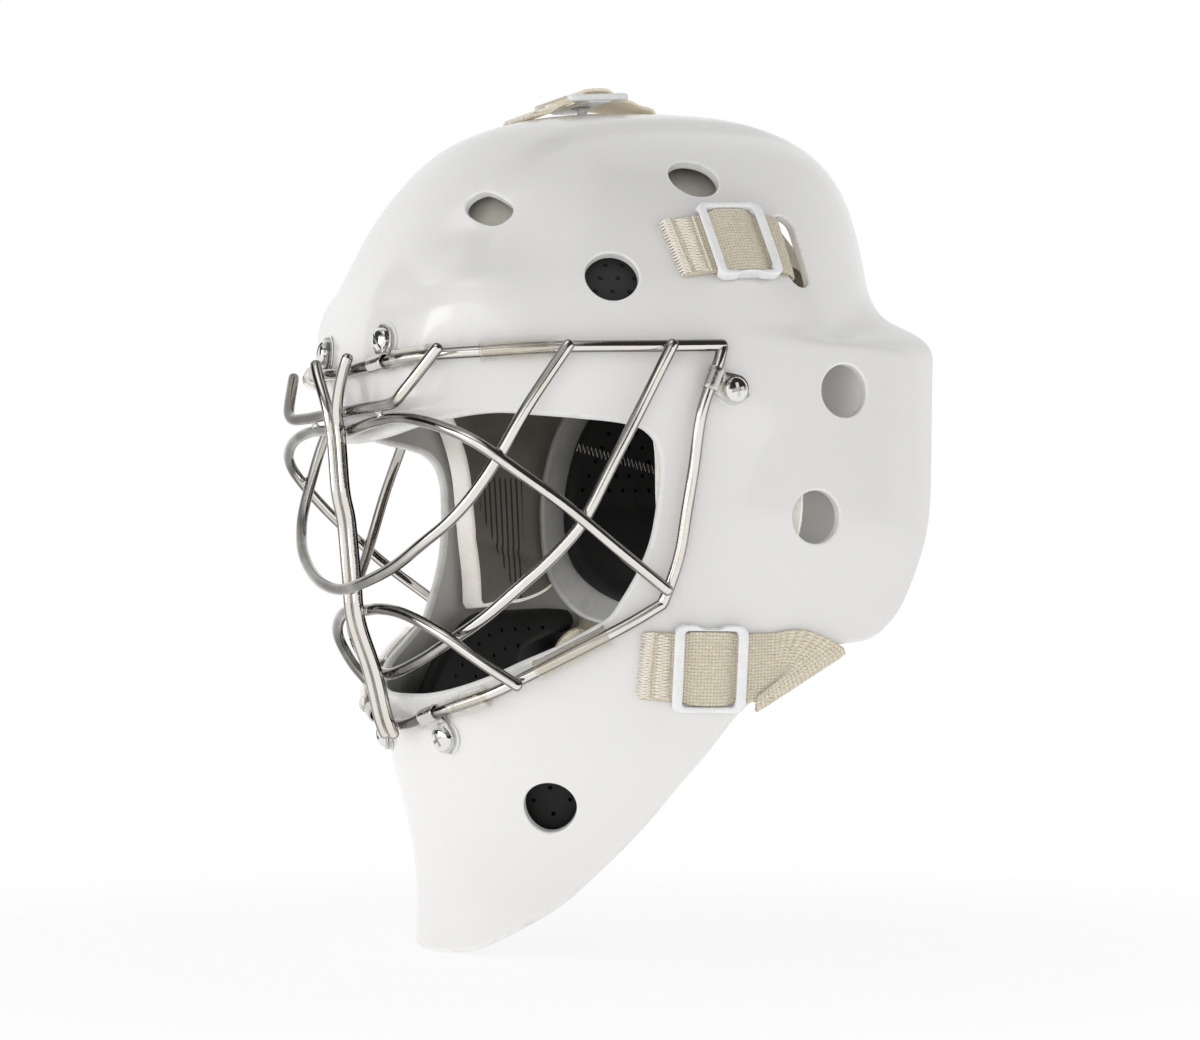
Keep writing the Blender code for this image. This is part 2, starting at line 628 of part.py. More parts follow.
BROW = [(0, -111.4, 38.8), (20, -111.6, 38.8), (36, -112.2, 38.6), (48, -112.8, 39.3), (52.5, -112.2, 42), (56.5, -110.3, 46),
        (65.8, -104.6, 57.5)]
ARCH = [(0, -110.8, 31.4), (20, -110.2, 33.0), (38.7, -108.8, 33.8), (55.4, -107.6, 32.0), (70, -104.4, 28.4), (82.8, -98.2, 22.8),
        (91.5, -85, 12), (97.4, -68.9, -0.2), (99.5, -48, -16), (98.7, -27.5, -29.9)]
U1 = [(0, -112.8, -28.8), (18, -112.0, -26.6), (38.5, -108.6, -20.8), (54, -105.2, -13.2), (65.8, -100.9, -6.1),
      (75.7, -96.0, 3.2), (83.5, -88.8, 18), (89.3, -80.9, 34.8), (95.5, -66.8, 58.0)]
U2 = [(0, -93.4, -61.0), (22, -91.6, -56.5), (42, -87.6, -48.5), (58.9, -82.0, -39.8), (73, -74.5, -28.5), (82.5, -66.2, -17.8),
      (90, -59, -6.5), (96.1, -49, 16), (100.4, -38.5, 38), (104.3, -29.0, 58.2)]
LOWER_ARCH = [(0, -102.2, -36.6), (12, -102.0, -36.2), (28, -99.8, -38.2), (45.9, -93.6, -45.4), (58, -82.4, -56.2), (65.6, -71.6, -64.6)]
CENTRE_BAR = [(14.5, -114.6, 56.5), (10, -115.1, 49.6), (6, -115.6, 43.1), (3.8, -115.7, 37.3), (3.7, -114.9, 30.4),
              (3.7, -113, 7.3), (3.7, -110.9, -1.8), (3.7, -108.4, -24.8), (3.7, -106.6, -40.4), (3.7, -98.8, -60.1), (3.7, -88.8, -81)]


# ---------------------------------------------------------------- cage
def mirror(p):
    return np.asarray(p) * np.array([-1, 1, 1])


def full(half, n):
    h = np.asarray(half, float)
    return spline(np.vstack([mirror(h)[::-1][:-1], h]), n)


def seat(ctrl, off):
    """Perimeter wires stand off the shell by a fixed distance."""
    p, _ = on_shell(ctrl, off)
    p[np.abs(np.asarray(ctrl)[:, 0]) < 1e-6, 0] = 0
    return p


def closest(a, b):
    d = np.linalg.norm(a[:, None] - b[None], axis=2)
    i, j = np.unravel_index(d.argmin(), d.shape)
    return i, j, d[i, j]


def layer(wires, over, dist, rounds=40):
    """Ease crossing wires apart until each pair in `over` (outer, inner) is `dist` clear."""
    for _ in range(rounds):
        moved = False
        for hi, lo, share in over:
            a, b = wires[hi], wires[lo]
            d = a[:, None] - b[None]
            r = np.linalg.norm(d, axis=2)
            # every separate crossing on both halves
            for side in (0, 1):
                keep = a[:, 0] > -1e-6 if side == 0 else a[:, 0] < 1e-6
                rr = np.where(keep[:, None], r, 1e9)
                i, j = np.unravel_index(rr.argmin(), rr.shape)
                out = unit(a[i] - CENTRE)
                sep = (a[i] - b[j])
                h = sep @ out
                lateral = np.linalg.norm(sep - h * out)
                if lateral > dist:
                    continue
                need = math.sqrt(max(dist ** 2 - lateral ** 2, 0.0))
                lack = need - h
                if lack > 0.02:
                    moved = True
                    for w, c, sgn, sh in ((a, i, 1, share), (b, j, -1, 1 - share)):
                        if sh:
                            s = np.linalg.norm(w - w[c], axis=1)
                            w += (sgn * sh * lack * np.exp(-(s / 17.0) ** 2))[:, None] * out
        if not moved:
            break


def build_cage():
    n = 160
    w = {
        'top_bar': full(seat(TOP_BAR, 4.6), n),
        'bottom_bar': full(seat(BOTTOM_BAR, 4.6), n),
        'side_bar_left': spline(seat(SIDE_BAR, 4.6), n),
        'brow_bar': full(BROW, n),
        'upper_arch': full(ARCH, n),
        'upper_u_bar': full(U1, n),
        'lower_u_bar': full(U2, n),
        'lower_arch': full(LOWER_ARCH, n),
        'centre_bar_left': spline(CENTRE_BAR, n),
    }
    w['side_bar_right'] = mirror(w['side_bar_left'])
    w['centre_bar_right'] = mirror(w['centre_bar_left'])
    d = 2 * WIRE_R + WIRE_GAP
    over = [('brow_bar', 'top_bar', 1), ('upper_u_bar', 'top_bar', 1), ('lower_u_bar', 'top_bar', 1),
            ('upper_arch', 'side_bar_left', 1), ('upper_arch', 'side_bar_right', 1),
            ('upper_arch', 'bottom_bar', 1), ('lower_arch', 'bottom_bar', 1), ('lower_u_bar', 'bottom_bar', 1),
            ('upper_arch', 'upper_u_bar', 0.5), ('upper_arch', 'lower_u_bar', 0.5),
            ('upper_u_bar', 'lower_arch', 1)]
    for s in ('left', 'right'):
        c = 'centre_bar_' + s
        over += [(c, 'top_bar', 1), (c, 'bottom_bar', 1), (c, 'brow_bar', 0.5), (c, 'upper_arch', 0.5),
                 (c, 'lower_arch', 1), (c, 'lower_u_bar', 1), ('upper_u_bar', c, 1)]
    layer(w, over, d)
    # keep the two halves mirror images
    for k in ('top_bar', 'bottom_bar', 'brow_bar', 'upper_arch', 'upper_u_bar', 'lower_u_bar', 'lower_arch'):
        w[k] = 0.5 * (w[k] + mirror(w[k])[::-1])
    for a in ('side_bar', 'centre_bar'):
        m = 0.5 * (w[a + '_left'] + mirror(w[a + '_right']))
        w[a + '_left'], w[a + '_right'] = m, mirror(m)
    # soften the eased stretches
    return w


def decimate_path(p, n_max, tol=0.12):
    """Fewer points along a path, closer together where it bends."""
    keep = [0, len(p) - 1]
    # a path across the middle is thinned alike on both halves
    twin = abs(p[0, 0] + p[-1, 0]) < 1e-6 and len(p) > 3
    while len(keep) < n_max:
        keep = sorted(set(keep))
        worst, at_i = tol, None
        for a, b in zip(keep, keep[1:]):
            if b - a < 2:
                continue
            seg = p[b] - p[a]
            l = np.linalg.norm(seg)
            q = p[a + 1:b] - p[a]
            e = np.linalg.norm(q - np.outer(q @ seg / l ** 2, seg), axis=1)
            k = e.argmax()
            if e[k] > worst:
                worst, at_i = e[k], a + 1 + k
        if at_i is None:
            break
        keep.append(at_i)
        if twin:
            keep.append(len(p) - 1 - at_i)
    return p[sorted(set(keep))]


# ---------------------------------------------------------------- straps and buckles
def strap_path(kind):
    """Centre line, cross direction and height above the shell for a left-side or top strap."""
    (o, u, _v, _w), _d = buckle_frame(kind)
    a, b = STRAP_SPAN[kind]
    p, n = on_shell([o + s * u for s in np.linspace(a, b, 40)])
    for _ in range(2):
        # across its width the strap bears on the shell at both edges
        t = unit(np.gradient(p, axis=0))
        v = unit(np.cross(n, t))
        hi, _n = on_shell(p + v * STRAP_W / 2)
        lo, _n = on_shell(p - v * STRAP_W / 2)
        v = unit(hi - lo)
        n = unit(np.cross(t, v))
    return p, n, v


def strap(name, pts, ups, cross, width, thick):
    """A flat band: pts is its under side's centre line."""
    v, f = [], []
    for p, n, c, w in zip(pts, ups, cross, width):
        v += [p - c * w / 2, p + c * w / 2, p + c * w / 2 + n * thick, p - c * w / 2 + n * thick]
    m = len(pts)
    for i in range(m - 1):
        a, b = 4 * i, 4 * i + 4
        for k in range(4):
            f.append((a + k, a + (k + 1) % 4, b + (k + 1) % 4, b + k))
    f += [(3, 2, 1, 0), tuple(4 * (m - 1) + k for k in range(4))]
    return make(name, v, f)


def buckle_frame(kind):
    """The buckle's own plane: it bears on the highest places of the shell under it.

    Also gives how deep the shell's surface lies under the plane at the post.
    """
    c, along = BUCKLES[kind]
    p, n = on_shell([c])
    o, u, v, w = frame_at(p[0], n[0], along)
    for _ in range(2):
        g = [(a, b) for a in np.linspace(-13, 13, 5) for b in np.linspace(-15, 15, 5)]
        s, _n = on_shell([o + a * u + b * v for a, b in g])
        m = s.mean(0)
        n = np.linalg.svd(s - m)[2][2]
        n = n if n @ w > 0 else -n
        o, u, v, w = frame_at(p[0], n, along)
    top = max(float(((s - p[0]) @ w).max()), 0.0) + LIFT[kind]
    return (o + top * w, u, v, w), -top


def buckle(name, fr):
    """White plastic slide: end bars over the strap, a middle bar under it."""
    zt = 0.6 + BUCKLE_H
    ob = prism(name, fr, round_box(BUCKLE_L / 2, BUCKLE_W / 2, 3.2, 2), 0.6, zt)
    win = STRAP_W / 2 + 1.4
    cut = prism('cut', fr, round_box(10.2, win, 0.8, 1), 2.4, zt + 2)
    boolean(ob, cut, 'DIFFERENCE')
    for s in (1, -1):
        x0, x1 = 5.0, 20.0
        cut = prism('cut', fr, [(s * x0, -win * s), (s * x1, -win * s), (s * x1, win * s), (s * x0, win * s)], -1.0, 4.0)
        boolean(ob, cut, 'DIFFERENCE')
    hole = prism('cut', fr, ring_outline(2.6, 8), -1, 3.5)
    boolean(ob, hole, 'DIFFERENCE')
    return ob


def mirrored(name, ob):
    """The right-hand copy of a left-hand piece."""
    me = ob.data.copy()
    me.name = name
    bm = bmesh.new()
    bm.from_mesh(me)
    bmesh.ops.scale(bm, vec=(-1, 1, 1), verts=bm.verts)
    bmesh.ops.reverse_faces(bm, faces=bm.faces)
    bm.to_mesh(me)
    bm.free()
    o = bpy.data.objects.new(name, me)
    bpy.context.scene.collection.objects.link(o)
    return o


def set_origin(ob, p):
    """Put an object's origin at p (head frame, mm) without moving its shape."""
    q = (np.asarray(p, float) + np.array(SHIFT)) * MM
    ob.data.transform(Matrix.Translation(-Vector(q)))
    ob.location = Vector(q)


# ---------------------------------------------------------------- build
def build():
    for o in list(bpy.data.objects):
        bpy.data.objects.remove(o, do_unlink=True)

    # --- shell with its openings
    loops = [loop_on(mirror_loop(TRIM), 12.0), loop_on(mirror_loop(EYE), 9.0)]
    for c in VENTS.values():
        loops += [circle_on(c, VENT_R), circle_on(mirror(c), VENT_R)]
    for c in SCREWS.values():
        loops += [circle_on(c, SCREW_HOLE_R, 8), circle_on(mirror(c), SCREW_HOLE_R, 8)]
    for kind in ('upper', 'lower'):
        c = BUCKLES[kind][0]
        loops += [circle_on(c, SCREW_HOLE_R, 8), circle_on(mirror(c), SCREW_HOLE_R, 8)]
    loops.append(circle_on(BUCKLES['top'][0], SCREW_HOLE_R, 8))
    for kind in ('top', 'upper'):
        (o, u, v, _w), _d = buckle_frame(kind)
        c = o + SLOT_AT[kind] * u
        loops.append(slot_on(c, v, SLOT_LEN / 2, SLOT_W / 2))
        if kind == 'upper':
            loops.append(slot_on(mirror(c), mirror(v), SLOT_LEN / 2, SLOT_W / 2))
    dress(patch('shell', loops, MESH, 0.0, -SHELL_T), 'shell_white')

    # --- wires
    cage = build_cage()
    counts = dict(top_bar=26, bottom_bar=26, brow_bar=18, upper_arch=26, upper_u_bar=30, lower_u_bar=28, lower_arch=18)
    for k, p in cage.items():
        dress(tube('cage_' + k, decimate_path(p, counts.get(k, 14)), WIRE_R), 'wire_steel', 60)

    # --- clear sleeves on the perimeter wires
    def sleeve(name, wire, f0, f1):
        p = cage[wire]
        a, b = int(f0 * (len(p) - 1)), int(f1 * (len(p) - 1))
        dress(tube(name, decimate_path(p[a:b + 1], 5), SLEEVE_R, 10, SLEEVE_BORE), 'clear_vinyl', 60)
    for nm, wire, f0, f1 in (('brow_front', 'top_bar', 0.617, 0.667), ('brow_rear', 'top_bar', 0.735, 0.812),
                             ('chin_front', 'bottom_bar', 0.652, 0.715), ('chin_rear', 'bottom_bar', 0.803, 0.915)):
        sleeve('vinyl_sleeve_%s_left' % nm, wire, f0, f1)
        sleeve('vinyl_sleeve_%s_right' % nm, wire, 1 - f1, 1 - f0)

    # --- clips, screws and tee nuts
    for kind, wire, along in (('forehead', 'top_bar', None), ('temple', 'side_bar_left', None), ('chin', 'bottom_bar', None)):
        c = np.array(SCREWS[kind])
        p, n = on_shell([c])
        p, n = p[0], n[0]
        w = cage[wire]
        i = np.linalg.norm(w - (p + 4.6 * n), axis=1).argmin()
        t = unit(w[min(i + 2, len(w) - 1)] - w[max(i - 2, 0)])
        fr = frame_at(p, n, w[i] - p)          # u runs from the screw to the wire
        o, u, v, ww = fr
        du, dh = (w[i] - o) @ u, (w[i] - o) @ ww
        # tab lies on the shell, the loop wraps the wire
        tab = prism('cage_clip_%s_left' % kind, fr,
                    [(-5.4, -2.6), (-2.6, -5.4), (du - 2.2, -4.9), (du - 2.2, 4.9), (-2.6, 5.4), (-5.4, 2.6)],
                    0.5, 1.9)
        half = 5.0
        lp = np.array([w[i] - t * half, w[i] + t * half])
        loop = tube('cut', lp, 4.2, 8)
        boolean(tab, loop, 'UNION')
        bore = tube('cut', np.array([w[i] - t * 9, w[i] - t * 3, w[i] + t * 3, w[i] + t * 9]), WIRE_R + 0.8, 8)
        boolean(tab, bore, 'DIFFERENCE')
        boolean(tab, prism('cut', fr, ring_outline(2.4, 8), -1, 6), 'DIFFERENCE')
        dress(tab, 'clip_steel')
        dress(mirrored('cage_clip_%s_right' % kind, tab), 'clip_steel')
        head = [(0, 4.9), (3.4, 4.4), (4.8, 2.9), (4.8, 2.3), (1.8, 2.3), (1.8, -6.6), (0, -6.6)]
        sc = lathe('cage_screw_%s_left' % kind, fr, head, 10)
        slot = prism('cut', fr, [(-3.2, -0.5), (3.2, -0.5), (3.2, 0.5), (-3.2, 0.5)], 3.7, 6)
        boolean(sc, slot, 'DIFFERENCE')
        dress(sc, 'screw_steel')
        dress(mirrored('cage_screw_%s_right' % kind, sc), 'screw_steel')
        nut = washer('tee_nut_%s_left' % kind, fr, 6.0, 2.2, -SHELL_T - 2.4, -SHELL_T - 1.1, 10)
        dress(nut, 'clip_steel')
        dress(mirrored('tee_nut_%s_right' % kind, nut), 'clip_steel')

    # --- straps, buckles, posts
    for kind in ('top', 'upper', 'lower'):
        p, n, v = strap_path(kind)
        fr, deep = buckle_frame(kind)
        o, fu, fv, fw = fr
        n = n * np.sign((n * unit(p - CENTRE)).sum(1, keepdims=True))
        s = (p - o) @ fu
        # over the buckle's middle bar, close to the shell elsewhere
        rise = np.zeros(len(p))
        for k in np.linspace(-1, 1, 9):
            side, _ = on_shell(p + v * k * (STRAP_W / 2 + 0.5))
            rise = np.maximum(rise, ((side - p) * n).sum(1))
        hop = 0.45 + 2.4 * sstep((9.8 - np.abs(s)) / 4.2)
        q, ups, crs, wid = [], [], [], []
        for i in range(len(p)):
            # inside the buckle the strap keeps to the buckle's own plane
            k = float(sstep((22 - abs(s[i])) / 7.5))
            nn = unit((1 - k) * n[i] + k * fw)
            base = p[i]
            h = (base - o) @ fw
            q.append((1 - k) * (base + n[i] * (rise[i] + 0.45)) + k * (base + fw * (hop[i] - h)))
            cc = v[i] if v[i] @ fv > 0 else -v[i]
            cc = (1 - k) * cc + k * fv
            ups.append(nn)
            crs.append(unit(cc - nn * (cc @ nn)))
            wid.append(STRAP_W)
        q, ups, crs = np.array(q), np.array(ups), np.array(crs)
        if kind in ('top', 'upper'):
            # turn down through the slot and on inside the shell towards the back plate
            sp, sn = on_shell([o + SLOT_AT[kind] * fu])
            sp, sn = sp[0], sn[0]
            t = fu
            base_n = unit(sn)
            t = unit(t - base_n * (t @ base_n))
            path = [sp - t * 6.2 + base_n * (1.0 + rise[-1]), sp - t * 4.6 + base_n * (0.8 + rise[-1]), sp - t * 2.7 - base_n * 1.2, sp + t * 0.0 - base_n * 5.6,
                    sp + t * 2.5 - base_n * 8.0, sp + t * 5.5 - base_n * 9.2, sp + t * 10 - base_n * 9.6]
            tang = unit(np.gradient(np.array(path), axis=0))
            cr = unit(fv - base_n * (fv @ base_n))
            for pp, tt in zip(path, tang):
                q = np.vstack([q, pp])
                crs = np.vstack([crs, cr])
                ups = np.vstack([ups, unit(np.cross(tt, cr)) * np.sign(np.cross(tt, cr) @ (base_n + 0.3 * t))])
                wid.append(STRAP_W)
        else:
            # fold round the shell's slanting rear edge, then up inside to the back plate
            a, an = on_shell([(95.0, 17, -68.0)])
            b, bn = on_shell([(100.5, 41, -54.0)])
            edge = unit(b[0] - a[0])
            mid, en = 0.5 * (a[0] + b[0]), unit(an[0] + bn[0])
            away = unit(np.cross(edge, en))
            away = away if away[2] < 0 else -away
            turn = unit(-away + 0.15 * edge)
            for off, out, half in ((-5.0, 1.5, 17.5), (-0.5, 1.6, 20.5), (2.3, 0.4, 21.0), (2.9, -2.6, 21.0), (1.2, -6.6, 20.5),
                                   (-5.0, -8.4, 18.5), (-13.0, -9.6, 15.5)):
                pp = mid + away * off + en * out
                q = np.vstack([q, pp])
                crs = np.vstack([crs, edge * np.sign(crs[0] @ edge)])
                wid.append(2 * half)
            tang = unit(np.gradient(q, axis=0))
            for k in range(7):
                tt = tang[len(q) - 7 + k]
                nn = np.cross(tt, crs[len(q) - 7 + k])
                ref = unit(np.array([1.0, 0.3, -0.2])) if k < 2 else (away if k < 5 else -en)
                ups = np.vstack([ups, unit(nn) * np.sign(nn @ ref)])
        idx = [0]
        for i in range(1, len(q) - 1):
            a, b = q[idx[-1]], q[i + 1]
            if np.linalg.norm(np.cross(unit(b - a), q[i] - a)) > 0.05 or np.linalg.norm(q[i] - a) > 12:
                idx.append(i)
        idx.append(len(q) - 1)
        names = ['strap_top'] if kind == 'top' else ['strap_%s_left' % kind, 'strap_%s_right' % kind]
        st = dress(strap(names[0], q[idx], ups[idx], crs[idx], np.array(wid)[idx], STRAP_T), 'strap_beige')
        bnames = [x.replace('strap', 'buckle') for x in names]
        bk = dress(buckle(bnames[0], fr), 'buckle_white')
        pnames = [x.replace('strap', 'buckle_post') for x in names]
        foot = deep - SHELL_T - 1.2
        post = lathe(pnames[0], fr, [(0, 2.1), (2.0, 2.1), (2.0, foot), (5.5, foot), (5.5, foot - 1.4), (0, foot - 1.4)], 10)
        dress(post, 'buckle_white')
        if len(names) > 1:
            dress(mirrored(names[1], st), 'strap_beige')
            b2 = dress(mirrored(bnames[1], bk), 'buckle_white')
            dress(mirrored(pnames[1], post), 'buckle_white')
            set_origin(b2, mirror(o))
        set_origin(bk, o)

    # --- back plate and its pad
    plate = patch('backplate', [loop_on(mirror_loop(PL), 13.0, r_plate)], 17.0, 0.0, -PLATE_T, r_plate, -1)
    dress(plate, 'shell_white')
    back_pad = patch('backplate_pad', [loop_on(mirror_loop(PD), 17.0, r_plate)], 21.0, -PLATE_T - 2.0, -PLATE_T - 11.0, r_plate, -1)
    dress(back_pad, 'foam_black')

    # --- pads glued inside the shell
    def pad(name, half_or_loop, slot, top=-(SHELL_T + PAD_GAP), thick=PAD_T, step=19.0, shape=None):
        return dress(patch(name, [loop_on(half_or_loop, 15.0)], step, top, top - thick, shape=shape), slot)
    pad('pad_forehead', mirror_loop(FOREHEAD), 'sweatband_grey', thick=8.0)

    def rest(a, b, n):
        # the crown pad's underside is flat where the head, or a stand, bears on it
        b = b.copy()
        b[:, 2] = np.minimum(b[:, 2], CROWN_REST)
        return b
    pad('pad_crown', mirror_loop(CROWN), 'foam_taupe', top=-(SHELL_T + 7.0), thick=11.0, shape=rest)
    sl = pad('pad_side_left', SIDE, 'foam_taupe')
    dress(mirrored('pad_side_right', sl), 'foam_taupe')
    pad('pad_chin_jaw', mirror_loop(JAW), 'foam_black', thick=8.0)
    return cage


CAGE = build()
bpy.context.view_layer.update()
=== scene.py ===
"""Looks of a goalie mask: shell, wire cage, straps, buckles, back plate and pads.

The modelling code works in millimetres in the head's own frame: +X the wearer's
left, -Y the front, +Z up. mesh_object() shifts it to the loaded frame and writes
metres. Most shapes are drawn for the left half and mirrored in X. The shell and
the back plate are surfaces given as a distance from CENTRE over direction, so
outlines and holes on them are loops of unit directions.
"""
import math
import bpy
import bmesh
import numpy as np
from mathutils import Matrix, Vector
from mathutils.geometry import delaunay_2d_cdt
from mathutils.kdtree import KDTree


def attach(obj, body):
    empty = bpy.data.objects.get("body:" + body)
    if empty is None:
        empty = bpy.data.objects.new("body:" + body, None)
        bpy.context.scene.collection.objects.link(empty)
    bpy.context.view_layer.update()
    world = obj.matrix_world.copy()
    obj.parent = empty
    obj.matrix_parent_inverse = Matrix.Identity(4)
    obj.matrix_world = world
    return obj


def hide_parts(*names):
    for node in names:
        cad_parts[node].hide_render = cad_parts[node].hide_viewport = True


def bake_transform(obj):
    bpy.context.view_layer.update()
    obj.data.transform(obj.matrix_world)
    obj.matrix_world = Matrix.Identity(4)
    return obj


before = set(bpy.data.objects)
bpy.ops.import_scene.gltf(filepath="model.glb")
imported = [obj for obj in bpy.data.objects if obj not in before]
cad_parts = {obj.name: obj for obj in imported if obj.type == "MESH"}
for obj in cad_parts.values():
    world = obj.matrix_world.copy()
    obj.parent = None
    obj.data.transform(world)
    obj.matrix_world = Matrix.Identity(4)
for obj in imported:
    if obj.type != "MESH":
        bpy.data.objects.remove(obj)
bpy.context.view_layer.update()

# ---------------------------------------------------------------- dimensions (mm)
SHELL_T = 4.0          # laminate thickness
WIRE_R = 2.2
WIRE_GAP = 0.35        # air between two wires that cross
WIRE_LIFT = 4.6        # perimeter wires' centre line over the shell
VENT_R = 10.0
SCREW_HOLE_R = 2.5     # holes for the cage screws and buckle posts
SLEEVE_R, SLEEVE_BORE = 4.1, 2.8
STRAP_W, STRAP_T = 25.4, 1.5
STRAP_LIFT = 0.45      # air under a strap
BUCKLE_L, BUCKLE_W, BUCKLE_H = 28.0, 32.6, 5.2
WINDOW_X, WINDOW_Y = 10.2, STRAP_W / 2 + 1.4   # half sizes of a buckle's opening
SLOT_LEN, SLOT_W = 32.0, 9.8
PAD_GAP = 2.6          # pads hang this far inside the shell
PAD_TOP = SHELL_T + PAD_GAP
PAD_T = 9.5
PLATE_T = 3.5
PLATE_PAD_DEPTH = PLATE_T + 10.2   # the back pad's inner face under the plate's outer face
CROWN_REST = 136.0     # level of the crown pad's flat underside
CENTRE = np.array([0.0, 5.0, -5.0])
SHIFT = np.array([0.0, 4.62, 166.92])   # from the head's frame to the middle of the underside
MM = 0.001


# ---------------------------------------------------------------- small maths
def smooth_table(xs, ys, soft=5.0):
    """A monotone cubic through (xs, ys), blurred over `soft` mm, as a function of x."""
    xs = np.asarray(xs, float)
    ys = np.asarray(ys, float)
    width = np.diff(xs)
    rise = np.diff(ys) / width
    slope = np.zeros(len(xs))
    for i in range(1, len(xs) - 1):
        if rise[i - 1] * rise[i] > 0:
            before = 2 * width[i] + width[i - 1]
            after = width[i] + 2 * width[i - 1]
            slope[i] = (before + after) / (before / rise[i - 1] + after / rise[i])
    slope[0], slope[-1] = rise[0], rise[-1]
    margin = 4 * soft
    x = np.arange(xs[0] - margin, xs[-1] + margin + 1.0, 1.0)
    held = np.clip(x, xs[0], xs[-1])
    k = np.clip(np.searchsorted(xs, held) - 1, 0, len(xs) - 2)
    t = (held - xs[k]) / width[k]
    y = ((2 * t**3 - 3 * t**2 + 1) * ys[k] + (t**3 - 2 * t**2 + t) * width[k] * slope[k]
         + (3 * t**2 - 2 * t**3) * ys[k + 1] + (t**3 - t**2) * width[k] * slope[k + 1])
    y = y + np.where(x < xs[0], (x - xs[0]) * slope[0], 0)
    y = y + np.where(x > xs[-1], (x - xs[-1]) * slope[-1], 0)
    kernel = np.exp(-0.5 * (np.arange(-3 * soft, 3 * soft + 1.0, 1.0) / soft) ** 2)
    kernel /= kernel.sum()
    n = len(kernel) // 2
    y = np.convolve(np.pad(y, n, mode='edge'), kernel, mode='same')[n:n + len(x)]
    return lambda at: np.interp(at, x, y)


def smooth_max(a, b, blend):
    h = np.clip(0.5 + 0.5 * (a - b) / blend, 0, 1)
    return b + (a - b) * h + blend * h * (1 - h)


def smooth_min(a, b, blend):
    return -smooth_max(-a, -b, blend)


def ease(t):
    """0 to 1 with level ends."""
    t = np.clip(t, 0, 1)
    return t * t * (3 - 2 * t)


def unit(v):
    return v / np.linalg.norm(v, axis=-1, keepdims=True)


def mirror(points):
    return np.asarray(points) * np.array([-1, 1, 1])


# ---------------------------------------------------------------- the outer surfaces
# jaw, cheeks and wings, by level
BODY_Z = [-185, -170, -160, -145, -121, -105, -88, -76, -65, -50, -33, 0, 35, 60, 80]
body_front = smooth_table(BODY_Z, [-77.5, -77, -76.5, -76.5, -79, -81.5, -83, -85, -87.5, -91.5,
                                   -95.5, -101, -105, -107, -106])
body_half = smooth_table(BODY_Z, [74, 76, 78, 82, 90, 94, 98, 99, 100, 101, 102, 104, 104.5,
                                  104.5, 104])
body_widest = smooth_table(BODY_Z, [60, 60, 60, 60, 58, 56, 54, 52, 50, 48, 48, 48, 48, 48, 48])
# fullness: exponents across and towards the front
body_across = smooth_table(BODY_Z, [2.0, 2.0, 2.0, 2.0, 2.1, 2.3, 2.5, 2.5, 2.5, 2.5, 2.5, 2.5,
                                    2.5, 2.5, 2.5])
body_forward = smooth_table(BODY_Z, [1.8, 1.75, 1.7, 1.4, 1.25, 1.35, 1.55, 1.65, 1.7, 1.75,
                                     1.75, 1.75, 1.75, 1.75, 1.75])
BODY_BACK = 130.0
LEDGE_Z = 73.5         # top of the wings
# dome, by level
DOME_Z = [-90, -60, -30, 0, 20, 40, 60, 76, 97, 110, 126, 135, 142, 150, 156, 160, 163.2]
DOME_TOP = DOME_Z[-1]
dome_front = smooth_table(DOME_Z, [-60, -75, -88, -96, -101, -105, -108, -107, -98.5, -92, -81,
                                   -73, -65, -49, -28, -3, 46], 3)
dome_half = smooth_table(DOME_Z, [50, 75, 88, 92.5, 96.5, 100.5, 102, 100, 91.5, 85, 75, 67.5,
                                  60, 46.5, 34, 22, 0.5], 3)
dome_widest = smooth_table(DOME_Z, [10, 10, 10, 10, 10, 10, 10, 12, 16, 20, 26, 30, 33, 40, 45,
                                    48, 49], 3)
dome_rear = smooth_table(DOME_Z, [110, 110, 110, 110, 110, 109, 107, 106, 105.5, 104.5, 102, 99,
                                  95.5, 90, 84, 76, 50], 3)
# raised band along the middle of the dome, and the brow's corners beside it
ridge_half = smooth_table([60, 80, 100, 125, 150, 167], [66, 60, 50, 44, 40, 38])
RIDGE_H = 3.0
BROW_H, BROW_X, BROW_Z = 8.0, 57.0, 73.0
# the back plate, a flatter section inside the wings, by level
PLATE_Z = [-60, -42, -20, 20, 60, 80, 102]
plate_half = smooth_table(PLATE_Z, [76, 79, 81, 81.5, 80, 77, 71], 3)
plate_rear = smooth_table(PLATE_Z, [97, 101, 106, 110, 110.5, 109, 105], 3)


def folded(points):
    """Coordinates with X folded onto the left side."""
    return np.abs(points[..., 0]), points[..., 1], points[..., 2]


def body_field(points):
    """Negative inside the jaw, cheeks and wings."""
    x, y, z = folded(points)
    widest = body_widest(z)
    across = x / body_half(z)
    fore = np.maximum(widest - y, 0) / (widest - body_front(z))
    aft = np.maximum(y - widest, 0) / (BODY_BACK - widest)
    return np.where(y < widest, across ** body_across(z) + fore ** body_forward(z),
                    across ** 2.6 + aft ** 2.6) - 1


def dome_field(points):
    """Negative inside the dome."""
    x, y, z = folded(points)
    widest = dome_widest(z)
    across = x / np.maximum(dome_half(z), 0.4)
    fore = np.maximum(widest - y, 0) / np.maximum(widest - dome_front(z), 0.3)
    aft = np.maximum(y - widest, 0) / np.maximum(dome_rear(z) - widest, 0.3)
    field = np.where(y < widest, across ** 2.3 + fore ** 1.9, across ** 2.2 + aft ** 2.2) - 1
    return np.where(z > DOME_TOP, 9.0, field)


def plate_field(points):
    """Negative inside the back plate's outer face."""
    x, y, z = folded(points)
    aft = np.maximum(y - 15, 0) / (plate_rear(z) - 15)
    return (x / plate_half(z)) ** 3.0 + aft ** 2.6 - 1


